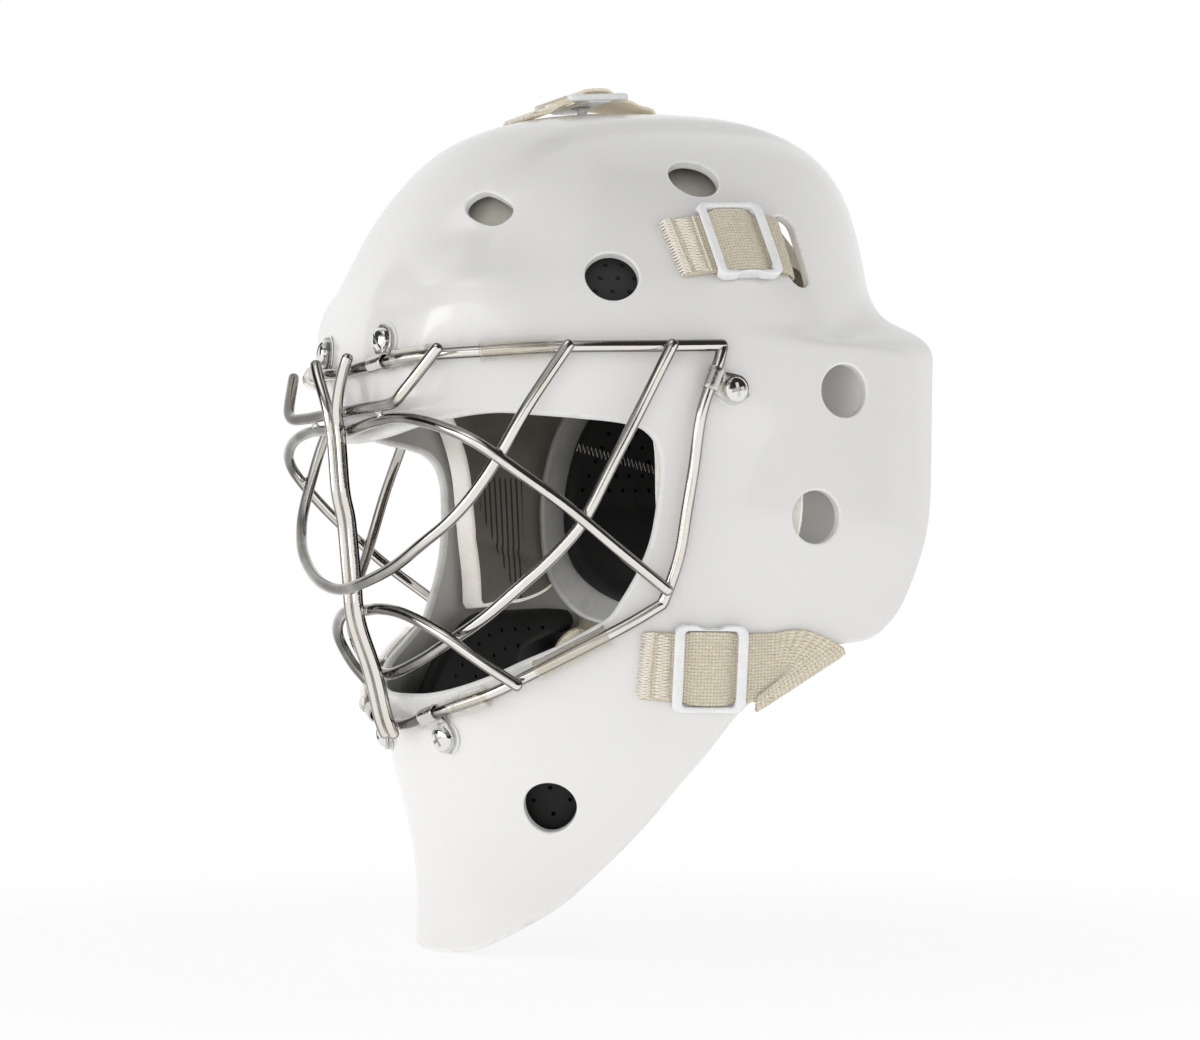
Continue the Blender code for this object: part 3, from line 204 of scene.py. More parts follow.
def cast(field, dirs):
    """How far field = 0 lies from CENTRE along each direction."""
    near = np.full(len(dirs), 20.0)
    far = np.full(len(dirs), 260.0)
    for _ in range(19):
        mid = 0.5 * (near + far)
        within = field(CENTRE + dirs * mid[:, None]) < 0
        near = np.where(within, mid, near)
        far = np.where(within, far, mid)
    a = field(CENTRE + dirs * near[:, None])
    b = field(CENTRE + dirs * far[:, None])
    return near + (far - near) * np.clip(a / np.minimum(a - b, -1e-12), 0, 1)


def shell_reach(dirs):
    body = cast(body_field, dirs)
    climb = dirs[:, 2] + 0.10 * np.abs(dirs[:, 0]) - 0.02
    dome = cast(dome_field, dirs)
    point = CENTRE + dirs * dome[:, None]
    # towards the rear the wings' top corner is higher and fuller
    rear = ease((point[:, 1] - 45) / 45)
    ledge = np.where(climb > 0.2,
                     (LEDGE_Z + 5.5 * rear - CENTRE[2]) / np.maximum(climb, 1e-3), 400.0)
    body = smooth_min(body, np.minimum(ledge, 400), 9.0 + 16.0 * rear)
    fade = ease((point[:, 2] - 72) / 25) * ease((75 - point[:, 1]) / 40)
    dome = dome + RIDGE_H * fade * ease((ridge_half(point[:, 2]) - np.abs(point[:, 0])) / 9 + 0.5)
    reach = smooth_max(dome, body, 7.0 + 22.0 * rear)
    point = CENTRE + dirs * reach[:, None]
    front = ease((-40 - point[:, 1]) / 40)
    return reach + BROW_H * front * np.exp(-((np.abs(point[:, 0]) - BROW_X) / 17) ** 2
                                           - ((point[:, 2] - BROW_Z) / 17) ** 2)


def plate_reach(dirs):
    return cast(plate_field, dirs)


# shallow hollows in front of the forward vents
SCOOP = np.array([47.0, -80.5, 108.0])
SCOOP_RUN = unit(np.array([0.45, 0.62, 0.30]))
SCOOP_DEPTH, SCOOP_HALF_W, SCOOP_HALF_L = 4.0, 11.0, 17.0


def scooped_reach(dirs):
    reach = shell_reach(dirs)
    away = np.stack(folded(CENTRE + dirs * reach[:, None]), 1) - SCOOP
    along = away @ SCOOP_RUN
    aside = np.linalg.norm(away - np.outer(along, SCOOP_RUN), axis=1)
    return reach - SCOOP_DEPTH * np.exp(-(aside / SCOOP_HALF_W) ** 2
                                        - (along / SCOOP_HALF_L) ** 2)


def surface(dirs, reach=shell_reach):
    """Points and outward normals of a surface along each direction."""
    step = 4e-3

    def at(d):
        return CENTRE + d * reach(d)[:, None]
    ref = np.where(np.abs(dirs[:, 1:2]) < 0.9, np.array([[0, 1.0, 0]]), np.array([[1.0, 0, 0]]))
    side_a = unit(np.cross(dirs, ref))
    side_b = np.cross(dirs, side_a)
    slope_a = at(unit(dirs + step * side_a)) - at(unit(dirs - step * side_a))
    slope_b = at(unit(dirs + step * side_b)) - at(unit(dirs - step * side_b))
    normal = unit(np.cross(slope_a, slope_b))
    return at(dirs), normal * np.sign((normal * dirs).sum(1, keepdims=True))


def to_dir(points):
    return unit(np.atleast_2d(np.asarray(points, float)) - CENTRE)


def on_shell(points, lift=0.0):
    """The points pulled onto the shell, then moved `lift` along its normal."""
    point, normal = surface(to_dir(points))
    return point + lift * normal, normal


def spot(place, reach=shell_reach):
    """The surface point in the direction of `place`, and its normal."""
    point, normal = surface(to_dir(place), reach)
    return point[0], normal[0]


# ---------------------------------------------------------------- curves and loops
def spline(ctrl, n, closed=False):
    """Centripetal Catmull-Rom through the control points, evenly resampled."""
    c = np.asarray(ctrl, float)
    if closed:
        c = np.vstack([c[-1], c, c[0], c[1]])
    else:
        c = np.vstack([2 * c[0] - c[1], c, 2 * c[-1] - c[-2]])
    out = []
    for i in range(1, len(c) - 2):
        p = c[i - 1:i + 3]
        gaps = np.maximum(np.linalg.norm(np.diff(p, axis=0), axis=1), 1e-6) ** 0.5
        t = np.concatenate([[0], np.cumsum(gaps)])
        u = np.linspace(t[1], t[2], 24, endpoint=False)[:, None]
        a = [((t[k + 1] - u) * p[k] + (u - t[k]) * p[k + 1]) / (t[k + 1] - t[k])
             for k in range(3)]
        b = [((t[k + 2] - u) * a[k] + (u - t[k]) * a[k + 1]) / (t[k + 2] - t[k])
             for k in range(2)]
        out.append(((t[2] - u) * b[0] + (u - t[1]) * b[1]) / (t[2] - t[1]))
    return resample(np.vstack(out + [c[-2][None]]), n, closed)


def run_along(points):
    """Distance along a line at each of its points."""
    return np.concatenate([[0], np.cumsum(np.linalg.norm(np.diff(points, axis=0), axis=1))])


def interp_rows(at, known, rows):
    return np.stack([np.interp(at, known, rows[:, k]) for k in range(rows.shape[1])], 1)


def resample(points, n, closed=False):
    run = run_along(points)
    out = interp_rows(np.linspace(0, run[-1], n + 1 if closed else n), run, points)
    return out[:-1] if closed else out


def length(points):
    return float(np.linalg.norm(np.diff(points, axis=0), axis=1).sum())


def close_up(points):
    return np.vstack([points, points[:1]])


def mirror_loop(half):
    """Close a left half, from the middle to the middle, with its mirror."""
    return np.vstack([np.asarray(half, float), mirror(half)[::-1][1:-1]])


def loop_on(ctrl, step, reach=shell_reach):
    """A closed loop of directions through the control points, about `step` mm apart."""
    point, _ = surface(to_dir(ctrl), reach)
    fine = spline(point, 600, True)
    n = max(8, int(round(length(close_up(fine)) / step)))
    return to_dir(spline(point, n, True))


def circle_on(centre, radius, n=16, reach=shell_reach):
    """A circle of directions about a surface point."""
    point, normal = spot(centre, reach)
    a = unit(np.cross(normal, [0, 0, 1.0]))
    b = np.cross(normal, a)
    t = np.arange(n) * 2 * math.pi / n
    return to_dir(point + radius * (np.cos(t)[:, None] * a + np.sin(t)[:, None] * b))


def slot_on(centre, along, half_len, half_w):
    """A round-ended slot of directions about a point on the shell."""
    point, normal = spot(centre)
    _, a, b, _ = frame_at(point, normal, along)
    ends = []
    for side in (1, -1):
        for k in range(13):
            t = -math.pi / 2 + math.pi * k / 12
            ends.append(point + side * (half_len - half_w + half_w * math.cos(t)) * a
                        + side * half_w * math.sin(t) * b)
    loop = close_up(np.array(ends))
    return to_dir(resample(loop, max(8, int(round(length(loop) / 1.6))), True))


def plane_of(dirs, pole):
    """Directions projected onto a plane from the pole, which is `pole` along Y."""
    return np.stack([dirs[:, 0], dirs[:, 2]], 1) / (1 - dirs[:, 1] * pole)[:, None]


def inside(points, outline):
    x, y = points[:, 0], points[:, 1]
    hit = np.zeros(len(points), bool)
    for (xa, ya), (xb, yb) in zip(outline, np.roll(outline, 1, 0)):
        if ya != yb:
            hit ^= ((ya > y) != (yb > y)) & (x < (xb - xa) * (y - ya) / (yb - ya) + xa)
    return hit


def frame_at(origin, out, along):
    """Origin, then axes along, across and outward."""
    out = unit(np.asarray(out, float))
    run = np.asarray(along, float)
    run = unit(run - out * (run @ out))
    return np.asarray(origin, float), run, np.cross(out, run), out


def local(frame, points):
    """Points given in a frame's own coordinates."""
    origin, run, across, out = frame
    points = np.asarray(points, float)
    return origin + points[:, :1] * run + points[:, 1:2] * across + points[:, 2:3] * out


def round_box(half_x, half_y, radius):
    points = []
    for sx, sy, start in ((1, 1, 0), (-1, 1, 90), (-1, -1, 180), (1, -1, 270)):
        for k in range(9):
            a = math.radians(start + 90 * k / 8)
            points.append((sx * (half_x - radius) + radius * math.cos(a),
                           sy * (half_y - radius) + radius * math.sin(a)))
    return np.array(points)


# ---------------------------------------------------------------- where things are
# x, y, z of points along each line, left side.
# Half outlines from the top middle to the bottom middle: the back plate and its pad
PLATE = [
    (0, 105, 100), (30, 103, 99), (55, 95, 94), (70, 75, 82), (78, 50, 67), (82, 28, 50),
    (82.5, 18, 25), (82.5, 16, 0), (82, 20, -22), (80, 34, -38), (74, 62, -44), (50, 92, -44.5),
    (25, 99, -44), (0, 100, -44)]
PLATE_PAD = [
    (0, 103, 90), (28, 101, 89), (50, 93, 84), (64, 75, 75), (73, 52, 60), (76.5, 34, 44),
    (77.5, 25, 22), (77.5, 23, 0), (76.5, 27, -16), (73, 43, -29), (64, 70, -35), (45, 88, -36),
    (22, 95, -36), (0, 96, -36)]
# pads inside the shell; the side liner is a whole outline
FOREHEAD = [
    (0, -98, 84), (30, -95, 84), (55, -82, 82), (72, -62, 80), (76, -56, 70), (80, -60, 56),
    (76, -68, 44), (58, -88, 41), (30, -103, 39), (0, -108, 38)]
CROWN = [
    (0, -90, 107), (28, -86, 107), (48, -76, 107), (62, -61, 108), (73, -42, 110), (79, -20, 113),
    (81, 0, 115), (78, 22, 118), (66, 38, 128), (45, 46, 143), (24, 48, 151), (0, 49, 153)]
LINER = [
    (84, -44, 54), (86, -46, 70), (79, -57, 84), (74, -54, 96), (78, -38, 101), (84, -20, 100),
    (91, -10, 90), (97, -6, 76), (99, 8, 70), (100, 24, 58), (101, 31, 45), (102, 32, 20),
    (101, 31, -8), (99, 22, -25), (94.9, 5, -32), (90.2, -8, -32.8), (87.6, -15, -33.8),
    (86.5, -19.5, -34.6), (86.4, -21.6, -33), (86.9, -21.6, -28), (87.3, -21.5, -20),
    (87.6, -22.5, -8), (88.7, -23.5, 5), (90.6, -25, 22), (90, -31, 40)]
JAW = [
    (0, -78, -92), (22, -76, -90), (44, -66, -80), (64, -50, -62), (76, -34, -47),
    (84, -17, -35.5), (90, 2, -34), (95, 24, -33.5), (96.5, 33, -35), (96, 34, -41),
    (93, 18, -45.5), (91, 6, -52), (89, 2, -66), (84, -2, -84), (74, -8, -102), (62, -20, -118),
    (46, -38, -128), (26, -58, -128), (0, -70, -126)]
JAW_UPPER_EDGE = JAW[:9]
# the shell's face opening and its outer edge
EYE = [
    (0, -107, 27.5), (22, -106, 29), (45, -98, 33), (65.4, -79.8, 34.8), (73.9, -69.5, 33.8),
    (82.6, -55.7, 32.5), (89.4, -40.9, 30.8), (91.4, -34.5, 29), (92.6, -29.4, 24.5),
    (92.5, -27.1, 18), (91.6, -26.8, 8), (90.3, -27.5, -2), (88.8, -29.2, -12.4),
    (86.2, -32.8, -23), (82.8, -37.8, -33.3), (80.3, -41.3, -39.3), (77.1, -46.5, -43.2),
    (69.5, -56.8, -50.1), (60.0, -66.5, -55.7), (48.0, -75.2, -61.7), (32.6, -82.2, -66.2),
    (16.9, -85.7, -68.4), (0, -86.8, -69)]
TRIM = [
    (0, 98, 131), (20, 98, 129), (38, 97, 119), (54, 94, 104), (70, 89, 92), (80, 91, 80),
    (88, 93, 70), (92.5, 94.5, 54), (94.3, 94.9, 33.4), (95.1, 92.7, -1.6), (98, 84, -23),
    (99.5, 74, -38), (100.6, 62, -47), (100.8, 42, -50.9), (98, 26, -60), (92.1, 7.5, -74.6),
    (80.4, -7.1, -96.2), (64.9, -19.6, -118.9), (50.6, -37.3, -141.5), (38, -56, -156.6),
    (26.6, -67, -164), (12, -75, -166.8), (0, -77.2, -167.5)]
VENTS = {
    'front': (45.7, -74.0, 116.8), 'temple': (85.3, -43.2, 85.7), 'crown': (71.5, 0.5, 127.5),
    'ear_upper': (104.5, 46.7, 45.6), 'ear_lower': (103.3, 34.6, -2.1),
    'chin': (51.9, -50.8, -110.4)}
SCREWS = {
    'forehead': (26.3, -108, 64.7), 'temple': (102.5, -1.2, 44.8), 'chin': (25.6, -81, -85)}
# each strap's buckle: its place and the strap's run through it
BUCKLES = {'top': ((0, -8, 160), (0, 1, 0)), 'upper': ((89.9, 7.2, 99.7), (0, 1, 0.06)),
           'lower': ((91.3, -6.3, -57.9), (0.2, 1, 0))}
LIFT = {'top': 3.0, 'upper': 0.0, 'lower': 0.0}      # extra height of the buckle's seat
# along the strap, from its buckle: where it starts and leaves the shell, the slot's centre
STRAP_SPAN = {'top': (-29.0, 22.0), 'upper': (-26.5, 18.6), 'lower': (-24.5, 27.0)}
SLOT_AT = {'top': 30.5, 'upper': 26.5}
# where each strap is sewn to the back plate
STRAP_END = {'top': (0, 101.0, 93.0), 'upper': (70.5, 74, 70.0), 'lower': (75.0, 66, -31.0)}

# cage wires: perimeter wires as places on the shell, the others in space
TOP_BAR = [
    (0, -109, 54.2), (20.6, -107.2, 55.0), (42.4, -101.4, 56.7), (55.0, -95.4, 57.6),
    (66.9, -84.8, 57.8), (76.3, -72.0, 58.1), (84.1, -58.9, 58.3), (96.0, -30.1, 58.8),
    (101.0, -7.3, 59.8)]
SIDE_BAR = [
    (101.0, -8.9, 54.0), (98.2, -14.3, 35.8), (95.4, -15.9, 15.6), (93.4, -17.6, 0),
    (91.7, -19.6, -16.5), (89.6, -22.5, -28)]
BOTTOM_BAR = [
    (0, -85, -80), (10.3, -84.3, -78.5), (24.3, -82.8, -74.7), (35.2, -79.7, -72.0),
    (50.8, -71.7, -66.2), (60.7, -64.3, -60.4), (73.3, -50.8, -51.2), (82.8, -35.6, -41.8),
    (88.2, -24.6, -34.4)]
BROW_BAR = [
    (0, -111.4, 38.8), (20, -111.6, 38.8), (36, -112.2, 38.6), (48, -112.8, 39.3),
    (52.5, -112.2, 42), (56.5, -110.3, 46), (65.8, -104.6, 57.5)]
UPPER_ARCH = [
    (0, -110.8, 31.4), (20, -110.2, 33.0), (38.7, -108.8, 33.8), (55.4, -107.6, 32.0),
    (70, -104.4, 28.4), (82.8, -98.2, 22.8), (91.5, -85, 12), (97.4, -68.9, -0.2),
    (99.5, -48, -16), (98.7, -27.5, -29.9)]
UPPER_U = [
    (0, -112.8, -28.8), (18, -112.0, -26.6), (38.5, -108.6, -20.8), (54, -105.2, -13.2),
    (65.8, -100.9, -6.1), (75.7, -96.0, 3.2), (83.5, -88.8, 18), (89.3, -80.9, 34.8),
    (95.5, -66.8, 58.0)]
LOWER_U = [
    (0, -93.4, -61.0), (22, -91.6, -56.5), (42, -87.6, -48.5), (58.9, -82.0, -39.8),
    (73, -74.5, -28.5), (82.5, -66.2, -17.8), (90, -59, -6.5), (96.1, -49, 16),
    (100.4, -38.5, 38), (104.3, -29.0, 58.2)]
LOWER_ARCH = [
    (0, -102.2, -36.6), (12, -102.0, -36.2), (28, -99.8, -38.2), (45.9, -93.6, -45.4),
    (58, -82.4, -56.2), (65.6, -71.6, -64.6)]
CENTRE_BAR = [
    (14.5, -114.6, 56.5), (10, -115.1, 49.6), (6, -115.6, 43.1), (3.8, -115.7, 37.3),
    (3.7, -114.9, 30.4), (3.7, -113, 7.3), (3.7, -110.9, -1.8), (3.7, -108.4, -24.8),
    (3.7, -106.6, -40.4), (3.7, -98.8, -60.1), (3.7, -88.8, -81)]


def buckle_frame(kind):
    """The buckle's own frame, bearing on the highest places of the shell under it.

    Also gives how far the frame lies above the shell at the post.
    """
    place, along = BUCKLES[kind]
    seat, normal = spot(place)
    origin, run, across, out = frame_at(seat, normal, along)
    grid = [(a, b) for a in np.linspace(-13, 13, 5) for b in np.linspace(-15, 15, 5)]
    for _ in range(2):
        under, _n = on_shell([origin + a * run + b * across for a, b in grid])
        normal = np.linalg.svd(under - under.mean(0))[2][2]
        normal = normal if normal @ out > 0 else -normal
        origin, run, across, out = frame_at(seat, normal, along)
    height = max(float(((under - seat) @ out).max()), 0.0) + LIFT[kind]
    return (origin + height * out, run, across, out), height


BUCKLE_SEATS = {kind: buckle_frame(kind) for kind in BUCKLES}


# ---------------------------------------------------------------- meshes
def mesh_object(name, verts, faces, mats, which=None, normals=None, uv=None, angle=None):
    """An object from head-frame millimetres; `which` gives each face's material slot."""
    mesh = bpy.data.meshes.new(name)
    world_verts = (np.asarray(verts, float) + SHIFT) * MM
    mesh.from_pydata(world_verts.tolist(), [], [[int(i) for i in f] for f in faces])
    for mat in mats:
        mesh.materials.append(mat)
    if which is not None:
        mesh.polygons.foreach_set('material_index', np.asarray(which, np.int32))
    bm = bmesh.new()
    bm.from_mesh(mesh)
    bmesh.ops.recalc_face_normals(bm, faces=bm.faces)
    bm.to_mesh(mesh)
    bm.free()
    mesh.shade_smooth()
    if uv is not None:
        layer = mesh.uv_layers.new(name='weave')
        corners = np.zeros(len(mesh.loops), np.int32)
        mesh.loops.foreach_get('vertex_index', corners)
        layer.data.foreach_set('uv', np.asarray(uv, np.float32)[corners].ravel())
    if normals is not None:
        mesh.normals_split_custom_set_from_vertices(np.asarray(normals, float).tolist())
    elif angle:
        mesh.set_sharp_from_angle(angle=math.radians(angle))
    return link_object(name, mesh)


def link_object(name, data):
    ob = bpy.data.objects.new(name, data)
    bpy.context.scene.collection.objects.link(ob)
    return ob


def right_of(name):
    return name.replace('_left', '_right')


def twin(left):
    """The right-hand copy of a left-hand piece."""
    mesh = left.data.copy()
    mesh.name = right_of(left.name)
    co = np.zeros(len(mesh.vertices) * 3, np.float32)
    mesh.vertices.foreach_get('co', co)
    co[0::3] *= -1
    mesh.vertices.foreach_set('co', co)
    mesh.flip_normals()
    mesh.update()
    return link_object(right_of(left.name), mesh)


def show(ob, node=None, body='mask_shell'):
    """Hand a piece to the frame: the CAD node it stands for, and what it rides on."""
    if node:
        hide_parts(node)
    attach(ob, body)


def show_pair(left, node=None):
    show(left, node)
    show(twin(left), node and right_of(node))


def tree_of(points):
    tree = KDTree(len(points))
    for i, point in enumerate(points):
        tree.insert(point, i)
    tree.balance()
    return tree


def scatter(count):
    """Even directions on a golden spiral."""
    k = np.arange(count) + 0.5
    y = 1 - 2 * k / count
    turn = math.pi * (1 + 5 ** 0.5) * k
    ring = np.sqrt(1 - y * y)
    return np.stack([np.cos(turn) * ring, y, np.sin(turn) * ring], 1)


def drop_inside(points, keep, outline):
    low, high = outline.min(0), outline.max(0)
    near = np.nonzero(keep & (points >= low).all(1) & (points <= high).all(1))[0]
    if len(near):
        keep[near[inside(points[near], outline)]] = False


def fill(loops, clear, count, reach, pole):
    """Directions and triangles that fill loops[0] and leave out the other loops.

    No scattered point lies within clear[i] mm of loops[i].
    """
    flat = [plane_of(loop, pole) for loop in loops]

    def kept(points):
        keep = inside(points, flat[0])
        for outline in flat[1:]:
            drop_inside(points, keep, outline)
        return keep
    dirs = scatter(count)
    dirs = dirs[kept(plane_of(dirs, pole))]
    points = CENTRE + dirs * reach(dirs)[:, None]
    tree = tree_of(np.vstack([CENTRE + loop * reach(loop)[:, None] for loop in loops]))
    limit = np.concatenate([np.full(len(loop), c) for loop, c in zip(loops, clear)])
    free = []
    for i, point in enumerate(points):
        _co, nearest, dist = tree.find(point)
        if dist > limit[nearest]:
            free.append(i)
    dirs = np.vstack(list(loops) + [dirs[free]])
    points = plane_of(dirs, pole)
    edges, start = [], 0
    for loop in loops:
        n = len(loop)
        edges += [(start + i, start + (i + 1) % n) for i in range(n)]
        start += n
    result = delaunay_2d_cdt([Vector(p) for p in points], edges, [], 0, 1e-10)
    index = [origin[0] for origin in result[3]]
    tris = np.array([[index[i] for i in t] for t in result[2]])
    return dirs, tris[kept(points[tris].mean(1))]


def rimmed(name, edges, count, top, bottom, mats, reach=shell_reach, pole=1, dip=None,
           custom=False, reshape=None):
    """A sheet between two offsets of a surface, with its outline and holes rounded over.

    edges lists (loop of directions, rounding radius, clearance), the outline first.
    dip adds to the bottom offset from the place and its distance to the outline.
    mats are those of the outer face, the inner face and the rim.
    """
    insets, outs = [], []
    for number, (loop, rounding, _clear) in enumerate(edges):
        point, normal = surface(loop, reach)
        along = unit(np.roll(point, -1, 0) - np.roll(point, 1, 0))
        out = unit(np.cross(normal, along))
        probe = plane_of(to_dir(point + 0.4 * out), pole)
        if (inside(probe, plane_of(loop, pole)).mean() > 0.5) == (number == 0):
            out = -out
        insets.append(to_dir(point - rounding * out) if rounding > 0.05 else loop)
        outs.append(out)
    dirs, tris = fill(insets, [edge[2] for edge in edges], count, reach, pole)
    p, n = surface(dirs, reach)
    facing = np.cross(p[tris[:, 1]] - p[tris[:, 0]], p[tris[:, 2]] - p[tris[:, 0]])
    flip = (facing * n[tris[:, 0]]).sum(1) < 0
    tris[flip] = tris[flip][:, ::-1]
    k = len(dirs)
    low = np.full(k, float(bottom))
    if dip:
        outline = tree_of(p[:len(insets[0])])
        low = low + dip(p, np.array([outline.find(v)[2] for v in p]))
    verts = [p + top * n, p + low[:, None] * n]
    normals = [n, -n]
    faces = [tuple(t) for t in tris] + [tuple(t[::-1] + k) for t in tris]
    which = [0] * len(tris) + [1] * len(tris)
    start, base = 0, 2 * k
    for loop, (_loop, rounding, _clear), out in zip(insets, edges, outs):
        m = len(loop)
        ids = np.arange(start, start + m)
        point, normal = p[ids], n[ids]
        out = unit(out - normal * (out * normal).sum(1, keepdims=True))
        rings = [ids]
        if rounding > 0.05:
            half = min(rounding, 0.48 * abs(top - bottom))
            steps = np.linspace(0, math.pi / 2, 5)
            turns = [(1, a) for a in steps[1:]] + [(-1, a) for a in steps[::-1][:-1]]
            for side, a in turns:
                level = (top if side > 0 else low[ids]) - side * half * (1 - math.cos(a))
                verts.append(point + np.reshape(level, (-1, 1)) * normal
                             + rounding * math.sin(a) * out)
                normals.append(side * math.cos(a) * normal + math.sin(a) * out)
                rings.append(np.arange(base, base + m))
                base += m
        rings.append(ids + k)
        for ring, following in zip(rings, rings[1:]):
            for i in range(m):
                j = (i + 1) % m
                faces.append((ring[j], ring[i], following[i], following[j]))
                which.append(2)
        start += m
    verts = np.vstack(verts)
    if reshape:
        verts = reshape(verts)
    return mesh_object(name, verts, faces, mats, which,
                       np.vstack(normals) if custom else None, angle=48)


def loft(rows, cols, closed=False):
    """Faces of a skin over `rows` rings of `cols` points, capped unless closed on itself."""
    faces = []
    for i in range(rows if closed else rows - 1):
        here, there = i * cols, (i + 1) % rows * cols
        for k in range(cols):
            j = (k + 1) % cols
            faces.append((here + k, here + j, there + j, there + k))
    if not closed:
        faces.append(tuple(range(cols))[::-1])
        faces.append(tuple(range((rows - 1) * cols, rows * cols)))
    return faces


def tube(points, radius, sides, bore=None):
    """A round wire with domed ends, or with a bore a pipe with open ends."""
    along = unit(np.gradient(points, axis=0))
    ref = np.array([0, 0, 1.0]) if abs(along[0, 2]) < 0.9 else np.array([1.0, 0, 0])
    side = unit(np.cross(along[0], ref))
    frames = []
    for a in along:
        side = side - a * (side @ a)
        side = side / np.linalg.norm(side)
        frames.append(side)
    side = np.array(frames)
    up = np.cross(along, side)
    t = np.arange(sides) * 2 * math.pi / sides
    circle = np.cos(t)[None, :, None] * side[:, None] + np.sin(t)[None, :, None] * up[:, None]
    radii = np.broadcast_to(np.asarray(radius, float), (len(points),))
    rings = [p + r * c for p, r, c in zip(points, radii, circle)]
    if bore is None:
        def dome(end, way, angle):
            r = radii[end]
            return (points[end] + way * along[end] * r * 0.8 * math.sin(angle)
                    + r * math.cos(angle) * circle[end])
        angles = [math.radians(a) for a in (25, 50, 72)]
        rings = ([dome(0, -1, a) for a in angles[::-1]] + rings
                 + [dome(-1, 1, a) for a in angles])
        return np.vstack(rings), loft(len(rings), sides)
    m = len(rings)
    bores = np.broadcast_to(np.asarray(bore, float), (m,))
    inner = [p + r * c for p, r, c in zip(points, bores, circle)]
    o = m * sides
    faces = loft(m, sides)[:-2]
    faces += [(b + o, a + o, d + o, c + o) for a, b, c, d in faces]
    for end in (0, m - 1):
        for k in range(sides):
            x, y = end * sides + k, end * sides + (k + 1) % sides
            faces.append((x, y, o + y, o + x) if end else (y, x, o + x, o + y))
    return np.vstack(rings + inner), faces


def gather(parts):
    """Join (vertices, faces) groups into one."""
    verts, faces, n = [], [], 0
    for part, part_faces in parts:
        verts.append(np.asarray(part))
        faces += [tuple(i + n for i in face) for face in part_faces]
        n += len(part)
    return np.vstack(verts), faces


def lathe(frame, profile, n=32):
    """Turn a profile of (radius, height) about the frame's outward axis."""
    verts, faces, rings = [], [], []
    for r, h in profile:
        if r < 1e-6:
            rings.append([len(verts)])
            verts.append((0, 0, h))
        else:
            rings.append(list(range(len(verts), len(verts) + n)))
            turns = [2 * math.pi * k / n for k in range(n)]
            verts += [(r * math.cos(t), r * math.sin(t), h) for t in turns]
    for a, b in zip(rings, rings[1:]):
        for k in range(n):
            j = (k + 1) % n
            if len(a) == 1:
                faces.append((a[0], b[k], b[j]))
            elif len(b) == 1:
                faces.append((a[k], a[j], b[0]))
            else:
                faces.append((a[k], a[j], b[j], b[k]))
    return local(frame, verts), faces


def prism(frame, outline, low, high):
    n = len(outline)
    flat = np.asarray(outline, float)
    faces = loft(2, n)
    verts = np.vstack([np.c_[flat, np.full(n, z)] for z in (low, high)])
    return local(frame, verts), faces[-2:] + faces[:-2]


def evaluated_mesh(ob):
    """A new mesh of the object with its modifiers applied, which are then cleared."""
    bpy.context.view_layer.update()
    graph = bpy.context.evaluated_depsgraph_get()
    mesh = bpy.data.meshes.new_from_object(ob.evaluated_get(graph))
    ob.modifiers.clear()
    return mesh


def cut_from(ob, verts, faces):
    """Cut a closed shape out of an object."""
    cutter = mesh_object('cut', verts, faces, [])
    mod = ob.modifiers.new('cut', 'BOOLEAN')
    mod.operation, mod.solver, mod.object = 'DIFFERENCE', 'EXACT', cutter
    ob.data = evaluated_mesh(ob)
    ob.data.name = ob.name
    bpy.data.objects.remove(cutter)


# ---------------------------------------------------------------- shader building
def operator(operation, swap=False):
    def apply(value, other):
        pair = (other, value) if swap else (value, other)
        return value.graph.math(operation, *pair)
    return apply


class Value:
    """A node's output; arithmetic on it adds Math nodes."""

    def __init__(self, graph, node, pick=0):
        self.graph, self.node, self.output = graph, node, node.outputs[pick]

    __add__ = operator('ADD')
    __sub__ = operator('SUBTRACT')
    __rsub__ = operator('SUBTRACT', swap=True)
    __mul__ = operator('MULTIPLY')
    __truediv__ = operator('DIVIDE')
    __pow__ = operator('POWER')


FALL = (1.0, 0.0)      # ramp that goes down instead of up


